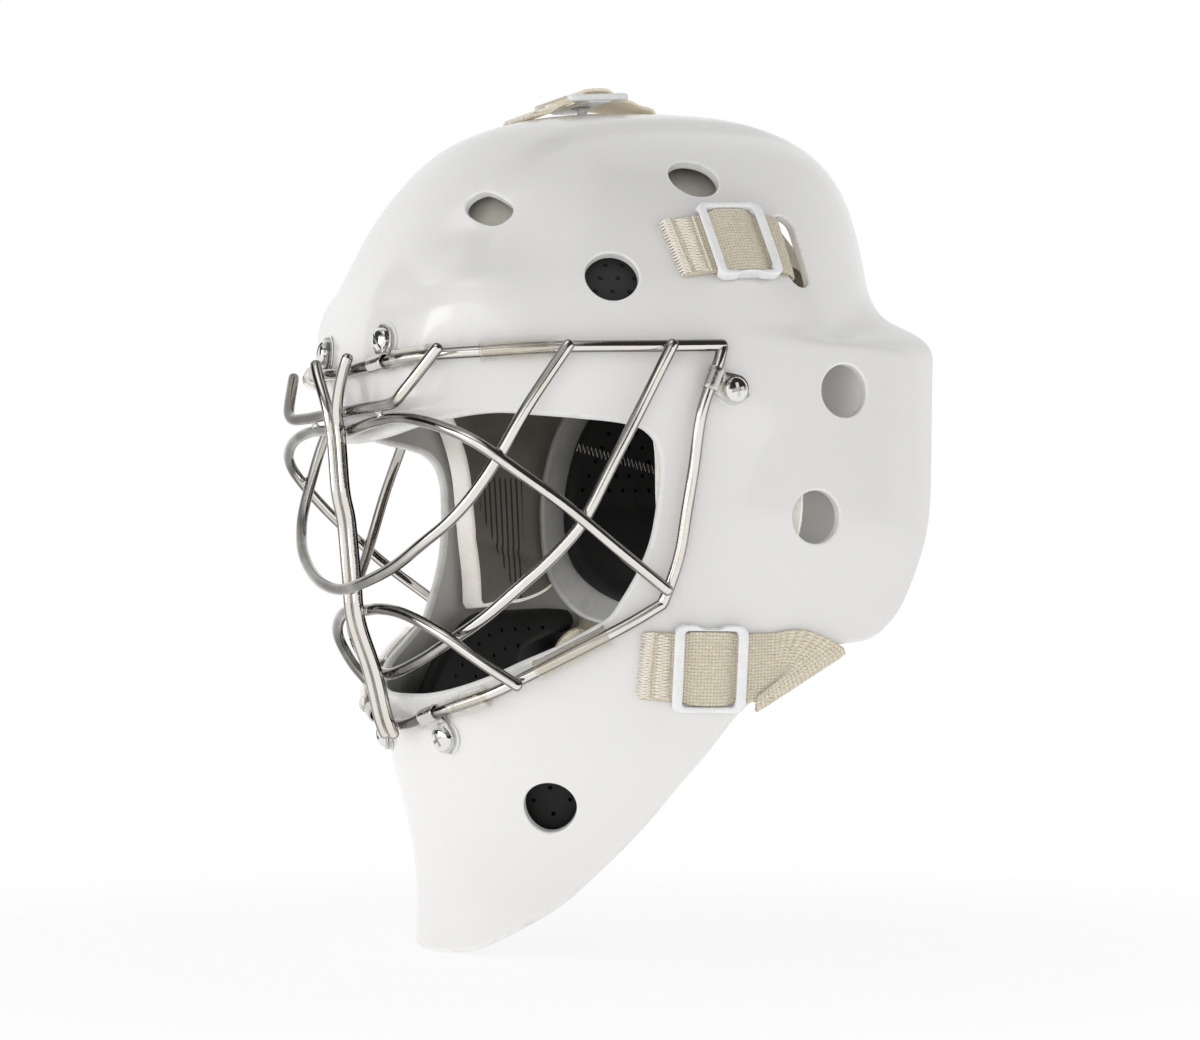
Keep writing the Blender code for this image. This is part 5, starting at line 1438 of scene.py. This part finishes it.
def strap_path(kind):
    """Centre line, outward and cross directions of a strap where it lies on the shell."""
    origin, run, _across, _out = BUCKLE_SEATS[kind][0]
    line, normal = on_shell([origin + s * run for s in np.linspace(*STRAP_SPAN[kind], 40)])
    for _ in range(2):
        # across its width the strap bears on the shell at both edges
        along = unit(np.gradient(line, axis=0))
        cross = unit(np.cross(normal, along))
        high, _n = on_shell(line + cross * STRAP_W / 2)
        low, _n = on_shell(line - cross * STRAP_W / 2)
        cross = unit(high - low)
        normal = unit(np.cross(along, cross))
    normal = normal * np.sign((normal * unit(line - CENTRE)).sum(1, keepdims=True))
    return line, normal, cross


def through_slot(kind, rise):
    """Points, outward and cross directions and widths of a strap going into its slot."""
    origin, run, across, _out = BUCKLE_SEATS[kind][0]
    point, normal = spot(origin + SLOT_AT[kind] * run)
    along = unit(run - normal * (run @ normal))
    dive = [(-6.2, 1.0 + rise), (-4.6, 0.8 + rise)] + SLOT_DIVE[kind]
    path = np.array([point + along * a + normal * b for a, b in dive])
    cross = unit(across - normal * (across @ normal))
    up = np.cross(unit(np.gradient(path, axis=0)), cross)
    up = unit(up) * np.sign(up @ (normal + 0.3 * along))[:, None]
    return path, up, np.tile(cross, (len(path), 1)), np.full(len(path), STRAP_W)


def round_edge(line, first_cross):
    """The same for the lower strap going round the shell's edge."""
    fore, fore_n = spot((95.0, 17, -68.0))
    aft, aft_n = spot((100.5, 41, -54.0))
    edge = unit(aft - fore)
    mid, out = 0.5 * (fore + aft), unit(fore_n + aft_n)
    away = unit(np.cross(edge, out))
    away = away if away[2] < 0 else -away
    path = np.array([mid + away * past + out * outward + edge * rear
                     for past, outward, _half, rear in EDGE_WRAP])
    cross = edge * np.sign(first_cross @ edge)
    up = np.cross(unit(np.gradient(np.vstack([line, path]), axis=0))[len(line):], cross)
    refs = np.array([unit(np.array([1.0, 0.3, -0.2]))] * 2 + [away] * 3 + [-out] * 2)
    up = unit(up) * np.sign((up * refs).sum(1, keepdims=True))
    return path, up, np.tile(cross, (len(path), 1)), np.array([2 * w[2] for w in EDGE_WRAP])


def strap_run(kind):
    """Points, outward and cross directions and widths, from the free end into the shell."""
    origin, run, across, out = BUCKLE_SEATS[kind][0]
    line, normal, cross = strap_path(kind)
    s = (line - origin) @ run
    rise = np.zeros(len(line))
    for k in np.linspace(-1, 1, 9):
        side, _ = on_shell(line + cross * k * (STRAP_W / 2 + 0.5))
        rise = np.maximum(rise, ((side - line) * normal).sum(1))
    hop = STRAP_LIFT + (4.6 if kind == 'top' else 2.7) * ease((9.8 - np.abs(s)) / 4.2)
    # drawn tight over the middle bar, the band spreads to fill the window
    widths = STRAP_W + 2.1 * ease((9.2 - np.abs(s)) / 1.6)
    # near the buckle the band follows the buckle's frame instead of the shell
    near = ease((22 - np.abs(s)) / 7.5)[:, None]
    ups = unit((1 - near) * normal + near * out)
    lifted = line + normal * (rise + STRAP_LIFT)[:, None]
    hopped = line + out * (hop - (line - origin) @ out)[:, None]
    path = (1 - near) * lifted + near * hopped
    facing = np.where((cross @ across > 0)[:, None], cross, -cross)
    crosses = (1 - near) * facing + near * across
    crosses = unit(crosses - ups * (crosses * ups).sum(1, keepdims=True))
    if kind in SLOT_AT:
        more = through_slot(kind, rise[-1])
    else:
        more = round_edge(path, crosses[0])
    return [np.concatenate(pair) for pair in zip((path, ups, crosses, widths), more)]


def to_plate(kind, path, ups, crosses, widths):
    """Carry a strap on inside the shell to where it is sewn on the back plate."""
    end, plate_n = spot(STRAP_END[kind], plate_reach)
    # the side straps are sewn on the plate's outer face, the top one inside its upper edge
    end = end + plate_n * (1.0 if kind != 'top' else -(PLATE_T + STRAP_T + 1.3))
    start, start_run = path[-1], unit(path[-1] - path[-2])
    gap = np.linalg.norm(end - start)
    direct = unit(end - start)
    end_run = unit(direct - plate_n * (direct @ plate_n))
    s = np.linspace(0, 1, 14)[1:, None]
    if kind == 'top':
        # drawn tight between the slot and the plate
        near = start + start_run * 14.0 - np.array([0, 0, 4.0])
        line = near + (end - near) * np.clip((s - 0.2) / 0.8, 0, 1)
        points = np.where(s < 0.2, start + (near - start) * (s / 0.2), line)
    else:
        points = ((2 * s**3 - 3 * s**2 + 1) * start
                  + (s**3 - 2 * s**2 + s) * (start_run * gap * 0.9)
                  + (-2 * s**3 + 3 * s**2) * end + (s**3 - s**2) * (end_run * gap * 0.9))
        # keep under the shell
        above, above_n = on_shell(points)
        depth = ((above - points) * above_n).sum(1)
        points = points - (above_n * np.maximum(7.6 - depth, 0)[:, None]
                           * np.sin(s * math.pi) ** 0.5)
    first = crosses[-1]
    last = unit(np.cross(plate_n, end_run))
    last = last if last @ first > 0 else -last
    whole = np.vstack([path, points])
    ups, crosses = list(ups), list(crosses)
    for x, along in zip(s[:, 0], unit(np.gradient(whole, axis=0))[len(path):]):
        cross = unit((1 - x) * first + x * last)
        cross = unit(cross - along * (cross @ along))
        up = unit(np.cross(along, cross))
        ups.append(up if up @ ups[-1] > 0 else -up)
        crosses.append(cross)
    more = widths[-1] + (STRAP_W - widths[-1]) * ease(s[:, 0] * 1.6)
    return whole, np.array(ups), np.array(crosses), np.concatenate([widths, more]), start, end


def band(path, ups, crosses, widths, seed):
    """A knitted band with rounded selvedges, its own coordinates in mm, and its fine run."""
    run = run_along(path)
    n = max(30, int(run[-1] / 1.1))
    s = np.linspace(0, run[-1], n)
    kernel = np.exp(-0.5 * (np.arange(-4, 5) / 1.8) ** 2)
    kernel /= kernel.sum()

    def soft(rows):
        rows = interp_rows(s, run, rows)
        return np.stack([np.convolve(np.pad(rows[:, k], 4, mode='edge'), kernel, mode='valid')
                         for k in range(3)], 1)
    line = soft(path)
    line[0], line[-1] = path[0], path[-1]
    up, cross = unit(soft(ups)), unit(soft(crosses))
    width = np.interp(s, run, widths)
    xs = np.linspace(-1, 1, 18)
    section = [(x, 0.0) for x in xs] + [(1.0, 0.22), (1.012, 0.5), (1.0, 0.78)]
    section += [(x, 1.0) for x in xs[::-1]] + [(-1.0, 0.78), (-1.012, 0.5), (-1.0, 0.22)]
    verts, uv = [], []
    for i in range(n):
        half = (width[i] / 2 - 0.12 + 0.10 * math.sin(s[i] * 2.1 + seed)
                + 0.07 * math.sin(s[i] * 5.3 + 2 * seed))
        for x, h in section:
            height = 0.5 + (h - 0.5) * (1 - abs(x) ** 10 * 0.28)
            rib = 0.045 * math.cos(x * 40) if h > 0 and abs(x) < 0.98 else 0
            verts.append(line[i] + cross[i] * (x * half) + up[i] * (height * STRAP_T + rib))
            uv.append((s[i], x * STRAP_W / 2 + (40.0 if h < 0.4 else 0.0)))
    return np.array(verts), loft(n, len(section)), np.array(uv), (line, up, cross, s)


HEM_LOOPS = 19
HEM_REACH = 6.5        # depth of the hem's stitches
THREAD_R = 0.30


def hem(line, up, cross, run):
    """Overlock threads over the cut end, and a row of bar stitches and a ridge behind them."""
    def pos(x, along, height):
        k = np.interp(along, run, np.arange(len(run)))
        i = int(min(max(k, 0), len(run) - 2))
        part = min(max(k - i, 0), 1)
        point = line[i] * (1 - part) + line[i + 1] * part
        if along < 0:
            point = point + unit(line[1] - line[0]) * along
        return point + cross[i] * x + up[i] * height
    parts = []
    half = STRAP_W / 2 - 0.5
    for j in range(HEM_LOOPS):
        x = (j + 0.5) / HEM_LOOPS * 2 - 1
        xa, xb = x * half, (x + 0.9 / HEM_LOOPS) * half
        past = 0.8 + 0.8 * abs(math.sin(j * 2.3))
        stitch = [pos(xa, HEM_REACH * 0.42, STRAP_T + 0.02), pos(xa + 0.25, 1.4, STRAP_T + 0.42),
                  pos(xa - 0.15, 0.0, STRAP_T + 0.30), pos(xa, -past, STRAP_T * 0.5),
                  pos(xa + 0.2, -past * 0.6, STRAP_T * 0.15), pos(xb, 0.3, STRAP_T + 0.40),
                  pos(xb + 0.25, HEM_REACH * 0.40, STRAP_T + 0.05)]
        parts.append(tube(spline(np.array(stitch), 18), THREAD_R, 6))
    bars = HEM_LOOPS * 2
    zigzag = []
    for j in range(bars):
        x = ((j + 0.5) / bars * 2 - 1) * (STRAP_W / 2 - 0.9)
        along, height = (0.62, 0.13) if j % 2 else (1.55, 0.10)
        zigzag.append(pos(x, HEM_REACH * along, STRAP_T + height))
        zigzag.append(pos(x + 0.2, HEM_REACH * 1.08, STRAP_T + 0.19))
    parts.append(tube(resample(np.array(zigzag), bars * 4), THREAD_R * 0.8, 6))
    ridge = [pos(x, HEM_REACH * 1.75, STRAP_T + 0.02 + 0.04 * math.sin(x * 3))
             for x in np.linspace(-STRAP_W / 2 + 0.6, STRAP_W / 2 - 0.6, 60)]
    parts.append(tube(np.array(ridge), THREAD_R, 6))
    return gather(parts)


def left_name(kind):
    return kind if kind == 'top' else kind + '_left'


for kind, seed in (('top', 0.3), ('upper', 1.1), ('lower', 2.2)):
    *run, start, end = to_plate(kind, *strap_run(kind))
    verts, faces, uv, fine_run = band(*run, seed)
    name = left_name(kind)
    webbing = mesh_object('webbing_' + name, verts, faces, [WEB_TOP if kind == 'top' else WEB],
                          uv=uv, angle=60)
    stitches = mesh_object('hem_stitch_' + name, *hem(*fine_run), [THREAD])
    pieces = [(webbing, stitches, name, start, end)]
    if kind != 'top':
        pieces.append((twin(webbing), twin(stitches), right_of(name), mirror(start), mirror(end)))
    for webbing, stitches, name, start, end in pieces:
        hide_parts('strap_' + name)
        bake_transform(webbing)
        show(stitches)


# ---------------------------------------------------------------- buckles and their posts
BUCKLE_Z = 0.6         # underside over the seat
# the middle bar's section, rounded along its long edges: along the strap, height
BAR_SECTION = [
    (-4.4, 0.6), (4.4, 0.6), (4.85, 0.8), (5.0, 1.3), (4.85, 1.95), (4.3, 2.3), (2.2, 2.4),
    (-2.2, 2.4), (-4.3, 2.3), (-4.85, 1.95), (-5.0, 1.3), (-4.85, 0.8)]


def buckle_ring(frame, notch, slim):
    """The buckle's frame: end bars arch over the strap, a notch in the side `notch` of Y."""
    n = 160
    half_x, half_y = BUCKLE_L / 2, BUCKLE_W / 2
    outer = resample(close_up(round_box(half_x, half_y, 3.6)), n, True)
    inner = resample(close_up(round_box(WINDOW_X, WINDOW_Y, 1.6)), n, True)
    # match the inner outline to the outer by angle
    inner_a = np.arctan2(inner[:, 1] / WINDOW_Y, inner[:, 0] / WINDOW_X)
    outer_a = np.arctan2(outer[:, 1] / half_y, outer[:, 0] / half_x)
    order = np.argsort(inner_a)
    around = np.concatenate([inner_a[order] + turn for turn in (-2 * math.pi, 0, 2 * math.pi)])
    inner = interp_rows(outer_a, around, np.vstack([inner[order]] * 3))
    dip = 1.5 * ease((6.5 - np.abs(outer[:, 0])) / 4.0) * (outer[:, 1] * notch > half_y - 1)
    outer[:, 1] -= notch * dip
    verts = []
    for out_at, in_at in zip(outer, inner):
        # under the end bars there is room for the strap
        arch = 0.0
        if abs(out_at[0]) > 9.0:
            arch = float(ease((STRAP_W / 2 + 2.0 - abs(out_at[1])) / 1.6))
        low = BUCKLE_Z + arch * (3.45 - 0.6 * slim) + slim * 0.35
        top = BUCKLE_Z + BUCKLE_H - slim - 0.25 + 0.25 * math.cos(out_at[1] / half_y * 1.4)
        wall = np.linalg.norm(out_at - in_at)
        outward = (out_at - in_at) / wall
        c = min(0.95, wall * 0.32)
        cz = min(0.85, (top - low) * 0.35)
        section = [(0, low + cz), (c * 0.3, low + cz * 0.3), (c, low), (wall - c, low),
                   (wall - c * 0.3, low + cz * 0.3), (wall, low + cz), (wall, top - cz),
                   (wall - c * 0.3, top - cz * 0.3), (wall - c, top), (c, top),
                   (c * 0.3, top - cz * 0.3), (0, top - cz)]
        verts += [(*(in_at + outward * a), z) for a, z in section]
    return local(frame, verts), loft(n, 12, closed=True)


def buckle_bar(frame):
    ys = np.linspace(-(STRAP_W / 2 + 2.4), STRAP_W / 2 + 2.4, 24)
    verts = [(x * (1 + 0.06 * (abs(y) / 15) ** 4), y, z) for y in ys for x, z in BAR_SECTION]
    return local(frame, verts), loft(len(ys), len(BAR_SECTION))


def post_profile(kind, height):
    """(radius, height) down a buckle's post; the top one has a collar on the shell's side."""
    foot = -height - SHELL_T - 1.2
    profile = [(0, 2.12), (1.6, 2.12), (2.0, 1.9)]
    if kind == 'top':
        profile += [(2.0, 0.4), (3.9, 0.32), (4.3, 0.1), (3.9, -0.12), (2.05, -0.2)]
    return profile + [(2.0, foot), (5.1, foot), (5.5, foot - 0.35), (5.5, foot - 1.0),
                      (5.0, foot - 1.4), (0, foot - 1.5)]


for kind, notch, slim in (('top', 1, 1.7), ('upper', -1, 0.5), ('lower', 1, 0.5)):
    frame, height = BUCKLE_SEATS[kind]
    name = left_name(kind)
    buckle = mesh_object('slide_buckle_' + name,
                         *gather([buckle_ring(frame, notch, slim), buckle_bar(frame)]),
                         [PLASTIC], angle=50)
    post = mesh_object('post_' + name, *lathe(frame, post_profile(kind, height)), [PLASTIC],
                       angle=40)
    pieces = [(buckle, post, name)]
    if kind != 'top':
        pieces.append((twin(buckle), twin(post), right_of(name)))
    for buckle, post, name in pieces:
        show(buckle, 'buckle_' + name, 'buckle_slide_' + name)
        show(post, 'buckle_post_' + name)

# ---------------------------------------------------------------- back plate and its pad
PERFORATION_R = 0.95
plate = rimmed('backplate_visual', [(loop_on(mirror_loop(PLATE), 2.5, plate_reach), 1.5, 1.2)],
               12000, 0.0, -PLATE_T, [SHELL, PLATE_IN, PLATE_IN], reach=plate_reach, pole=-1,
               custom=True)
show(plate, 'backplate', 'rear_plate')


def cheek_x(y):
    """Half width of the back pad's cheeks."""
    return 77.5 - 0.0042 * (y - 24) ** 2


def plate_pad_dip(p, far):
    """A seam under the perforated part, and a curved one over the smooth part below it."""
    y, z = p[:, 1], p[:, 2]
    seam = np.exp(-((z - 9.5 + 0.10 * (y - 50)) / 1.1) ** 2)
    arc = np.exp(-((np.hypot(y - 62, z + 6) - 21) / 1.2) ** 2) * ease((5 - z) / 6)
    puffed = 1.2 * ease(np.abs(z - 9.5) / 9.0) * ease((12 - z) / 3)
    return -1.6 * ease(far / 16) + 1.6 * seam + 1.1 * arc - puffed


def back_pad():
    outline = loop_on(mirror_loop(PLATE_PAD), 4.0, plate_reach)
    flat = plane_of(outline, -1)
    edges = [(outline, 3.6, 2.4)]
    for row, z in enumerate(np.arange(15.0, 84, 6.0)):
        for y in np.arange(29.0 + (3.1 if row % 2 else 0), 74, 6.2):
            for side in (1, -1):
                place = (side * cheek_x(y), y, z)
                margin = circle_on(place, 5.0, 8, plate_reach)
                if inside(plane_of(margin, -1), flat).all():
                    edges.append((circle_on(place, PERFORATION_R, 8, plate_reach), 0.0, 1.4))
    pad = rimmed('backplate_padding', edges, 7000, -PLATE_T - 2.0, -PLATE_PAD_DEPTH,
                 [BLACK, BLACK, BLACK], reach=plate_reach, pole=-1, dip=plate_pad_dip)
    show(pad, 'backplate_pad', 'rear_plate')


def pad_stitches():
    """A zigzag of thread over the pad's inner face, on both cheeks."""
    y = np.arange(26.0, 68.0, 0.95)
    z = 33.0 - 0.26 * (y - 26) + np.where(np.arange(len(y)) % 2, 1.7, -1.7)
    point, normal = surface(to_dir(np.stack([cheek_x(y), y, z], 1)), plate_reach)
    lift = -PLATE_PAD_DEPTH - 1.6 * ease((y - 24) / 16) - 0.25
    line = point + normal * lift[:, None]
    data = gather([tube(line, 0.17, 6), tube(mirror(line)[::-1], 0.17, 6)])
    show(mesh_object('backplate_pad_stitches', *data, [THREAD]), body='rear_plate')


back_pad()
pad_stitches()


# ---------------------------------------------------------------- pads inside the shell
def coordinates(mesh):
    co = np.zeros(len(mesh.vertices) * 3)
    mesh.vertices.foreach_get('co', co)
    return co.reshape(-1, 3)


def inflate(ob, cap, pressure):
    """Cloth under pressure for 20 frames, every point held within `cap` mm of its start."""
    mesh = ob.data
    rest = coordinates(mesh)
    settings = ob.modifiers.new('cloth', 'CLOTH').settings
    settings.quality = 4
    settings.mass = 0.25
    settings.tension_stiffness = settings.compression_stiffness = 18
    settings.bending_stiffness = 1.2
    settings.use_pressure = True
    settings.uniform_pressure_force = pressure
    settings.effector_weights.gravity = 0
    for k in range(1, 21):
        bpy.context.scene.frame_set(k)
    result = ob.evaluated_get(bpy.context.evaluated_depsgraph_get())
    move = coordinates(result.to_mesh()) - rest
    result.to_mesh_clear()
    ob.modifiers.clear()
    bpy.context.scene.frame_set(1)
    size = np.linalg.norm(move, axis=1, keepdims=True)
    move = np.where(np.isfinite(move), move, 0) * np.minimum(1, cap * MM / np.maximum(size, 1e-9))
    mesh.vertices.foreach_set('co', (rest + move).ravel())
    mesh.update()


def puff(ob, voxel, cap, pressure):
    """Blow a closed form up as filled fabric."""
    remesh = ob.modifiers.new('r', 'REMESH')
    remesh.mode, remesh.voxel_size = 'VOXEL', voxel * MM
    mesh = evaluated_mesh(ob)
    mats = list(ob.data.materials)
    ob.data = mesh
    mesh.materials.clear()
    for mat in mats:
        mesh.materials.append(mat)
    inflate(ob, cap, pressure)
    smoother = ob.modifiers.new('s', 'SUBSURF')
    smoother.levels = smoother.render_levels = 1
    ob.data = evaluated_mesh(ob)
    ob.data.shade_smooth()


def crown_flat(verts):
    """The crown pad's head side is flat where the head bears on it."""
    verts = verts.copy()
    face = shell_reach(to_dir(verts)) - SHELL_T - 12.5
    inner = np.linalg.norm(verts - CENTRE, axis=1) < face
    verts[inner, 2] = np.minimum(verts[inner, 2], CROWN_REST)
    return verts


def liner_grooves(p, far):
    """Offset of the side liner's inner face: a raised border and two sloping grooves."""
    y, z = p[:, 1], p[:, 2]
    return (-2.0 + 0.9 * ease(1 - far / 5) + 1.1 * np.exp(-((z - 38 - 0.25 * y) / 1.2) ** 2)
            + 1.1 * np.exp(-((z + 12 + 0.2 * y) / 1.2) ** 2))


def jaw_pad():
    """The perforated chin and jaw pad; rows of holes follow its upper edge."""
    outline = loop_on(mirror_loop(JAW), 3.4)
    flat = plane_of(outline, 1)
    base = resample(spline(JAW_UPPER_EDGE, 60), 24)
    holes = []
    for row in range(6):
        drop = np.array([0, 0.8, -1.0]) * (7.5 + 6.2 * row)
        for k, point in enumerate(base):
            left = point + drop + (0.5 if row % 2 else 0) * (base[min(k + 1, 23)] - point)
            for place in (left, mirror(left)):
                if abs(place[0]) < 3:
                    continue
                if not inside(plane_of(circle_on(place, 4.6, 10), 1), flat).all():
                    continue
                if all(np.linalg.norm(place - other) > 3.4 for other in holes):
                    holes.append(place)
    edges = [(outline, 3.2, 2.2)]
    edges += [(circle_on(hole, PERFORATION_R, 8), 0.0, 1.3) for hole in holes]
    pad = rimmed('jaw_padding', edges, 9000, -(PAD_TOP + 0.2), -(PAD_TOP + 7.8),
                 [BLACK, BLACK, BLACK], dip=lambda p, far: -0.4 * ease(far / 12))
    show(pad, 'pad_chin_jaw')


sweatband = rimmed('sweatband', [(loop_on(mirror_loop(FOREHEAD), 4.0), 2.6, 2.4)], 5000,
                   -(PAD_TOP + 0.6), -(PAD_TOP + 7.2), [FLEECE, FLEECE, FLEECE])
puff(sweatband, voxel=4.5, cap=2.2, pressure=4.0)
show(sweatband, 'pad_forehead')
crown = rimmed('crown_padding', [(loop_on(mirror_loop(CROWN), 4.0), 3.4, 2.4)], 5000,
               -(SHELL_T + 7.2), -(SHELL_T + 17.6), [MOULDED, TAUPE, MOULDED],
               reshape=crown_flat)
show(crown, 'pad_crown')
liner = rimmed('side_liner_left', [(loop_on(LINER, 3.0), 1.4, 1.6)], 14000, -PAD_TOP,
               -(PAD_TOP + PAD_T), [LINER_BACK, TAUPE_LINES, CREAM], dip=liner_grooves)
show_pair(liner, 'pad_side_left')
jaw_pad()

# ---------------------------------------------------------------- camera
HEAD = Vector(SHIFT) * MM
AZIMUTH, ELEVATION, DISTANCE = math.radians(60.5), math.radians(-2.5), 1.088
SENSOR, LENS = 36, 81.6    # mm
TO_CAMERA = Vector((math.sin(AZIMUTH) * math.cos(ELEVATION),
                    -math.cos(AZIMUTH) * math.cos(ELEVATION), math.sin(ELEVATION)))
RIGHT = Vector((math.cos(AZIMUTH), math.sin(AZIMUTH), 0))

camera = bpy.data.cameras.new('camera')
camera.sensor_width = SENSOR
camera.lens = LENS
camera_ob = link_object('camera', camera)
pose = Matrix((RIGHT, TO_CAMERA.cross(RIGHT), TO_CAMERA)).transposed().to_4x4()
pose.translation = HEAD + TO_CAMERA * DISTANCE
camera_ob.matrix_world = pose
bpy.context.scene.camera = camera_ob


# ---------------------------------------------------------------- floor, world and lights
def look_floor():
    """White that turns from mostly to wholly self-lit away from the mask."""
    look = Look('studio_floor_white', (0.93, 0.93, 0.93), rough=0.75)
    away = look.node('ShaderNodeVectorMath', {0: look.place()}, 'Value', operation='LENGTH')
    glow = look.node('ShaderNodeEmission', {0: (1, 1, 1), 1: 1.0})
    share = look.ramp(away, over=(0.12, 0.45), to=(0.90, 1.0))
    look.finish(look.node('ShaderNodeMixShader', {0: share, 1: look.shader, 2: glow}))
    return look.mat


def floor():
    """A pale studio floor that runs out to the white backdrop."""
    n, level, radii = 64, -0.0004, [0.2, 0.5, 1.0, 2.0, 4.0, 9.0]    # metres
    verts = [(0, 0, level)]
    for r in radii:
        verts += [(r * math.cos(2 * math.pi * k / n), r * math.sin(2 * math.pi * k / n), level)
                  for k in range(n)]
    faces = [(0, 1 + k, 1 + (k + 1) % n) for k in range(n)]
    for i in range(len(radii) - 1):
        ring = 1 + i * n
        faces += [(ring + k, ring + n + k, ring + n + (k + 1) % n, ring + (k + 1) % n)
                  for k in range(n)]
    mesh = bpy.data.meshes.new('studio_floor')
    mesh.from_pydata(verts, [], faces)
    mesh.materials.append(look_floor())
    link_object('studio_floor', mesh)


def studio():
    """White to the camera, soft light for matt surfaces, a room with flags for reflections."""
    world = bpy.data.worlds.new('studio')
    bpy.context.scene.world = world
    world.use_nodes = True
    g = Graph(world.node_tree, 'ShaderNodeOutputWorld')
    ray = g.node('ShaderNodeTexCoord', pick='Generated')
    front, side, high = [
        g.node('ShaderNodeVectorMath', {0: ray, 1: axis}, 'Value', operation='DOT_PRODUCT')
        for axis in (tuple(TO_CAMERA), tuple(RIGHT), (0, 0, 1))]
    # black flags: right of the camera, far left, and low and high on the camera's side
    flag_right = (g.window(side, rise=(0.03, 0.13), fall=(0.97, 0.998))
                  * g.ramp(front, over=(-0.22, -0.06)))
    flag_left = (g.ramp(side, (-0.84, -0.74), FALL) * g.ramp(front, over=(-0.50, -0.42))
                 * g.ramp(front, (0.24, 0.34), FALL))
    flag_low = (g.window(high, rise=(-0.72, -0.62), fall=(-0.20, -0.12))
                * g.ramp(front, over=(0.05, 0.25)))
    flag_high = (g.window(high, rise=(0.30, 0.40), fall=(0.62, 0.72))
                 * g.ramp(front, over=(0.05, 0.25)))
    flags = g.math('MAXIMUM', g.math('MAXIMUM', flag_right, flag_left),
                   g.math('MAXIMUM', flag_low, flag_high * 0.75))
    lamp = (g.window(side, rise=(-0.80, -0.62), fall=(-0.28, -0.12))
            * g.ramp(front, over=(0.2, 0.4)))
    shine = lamp * 0.75 + g.ramp(front, over=(-0.55, 0.15), to=(0.95, 0.52))
    shine = shine * (1.0 - flags * 0.94)
    # matt light: brighter from below and the camera's left, never quite dark
    soft = high * -0.46 + side * -0.34 + front * -0.06 + 0.765
    soft = g.math('MAXIMUM', soft, 0.04)

    def seen_by(kind, otherwise, value):
        share = g.node('ShaderNodeLightPath', pick=kind) if paths is None else Value(
            g, paths, kind)
        return g.node('ShaderNodeMix', {0: share, 2: otherwise, 3: value})
    paths = g.node('ShaderNodeLightPath', pick=None)
    strength = seen_by('Is Camera Ray', seen_by('Is Glossy Ray', soft, shine), 1.0)
    g.finish(g.node('ShaderNodeBackground', {'Strength': strength, 'Color': (1, 1, 1)}))
    # matt and shiny surfaces see different studios, so the backdrop isn't sampled as one lamp
    world.cycles.sampling_method = 'NONE'


def softbox(name, toward, size, power, glossy=False):
    """A rectangular lamp 1.5 m from the head; sizes in metres, power in watts."""
    light = bpy.data.lights.new(name, 'AREA')
    light.shape, light.size, light.size_y = 'RECTANGLE', size[0], size[1]
    light.energy, light.color = power, (1, 1, 1)
    ob = link_object(name, light)
    aim = Vector(toward).normalized()
    ob.location = HEAD + aim * 1.5
    ob.rotation_euler = (-aim).to_track_quat('-Z', 'Y').to_euler()
    ob.visible_glossy = glossy


floor()
studio()
softbox('key_left', TO_CAMERA * 0.45 - RIGHT * 1.0 + Vector((0, 0, -0.1)), size=(1.0, 1.3),
        power=7.5, glossy=True)
softbox('key_right', RIGHT * 1.0 + TO_CAMERA * 0.4 + Vector((0, 0, 0.65)), size=(1.0, 1.0),
        power=4.4)
softbox('fill_front', TO_CAMERA * 1.0 - RIGHT * 0.12 + Vector((0, 0, -0.05)), size=(0.7, 0.7),
        power=5.0)

scene = bpy.context.scene
scene.view_settings.view_transform = 'Standard'
scene.view_settings.look = 'None'
scene.frame_set(1)

bpy.context.view_layer.update()
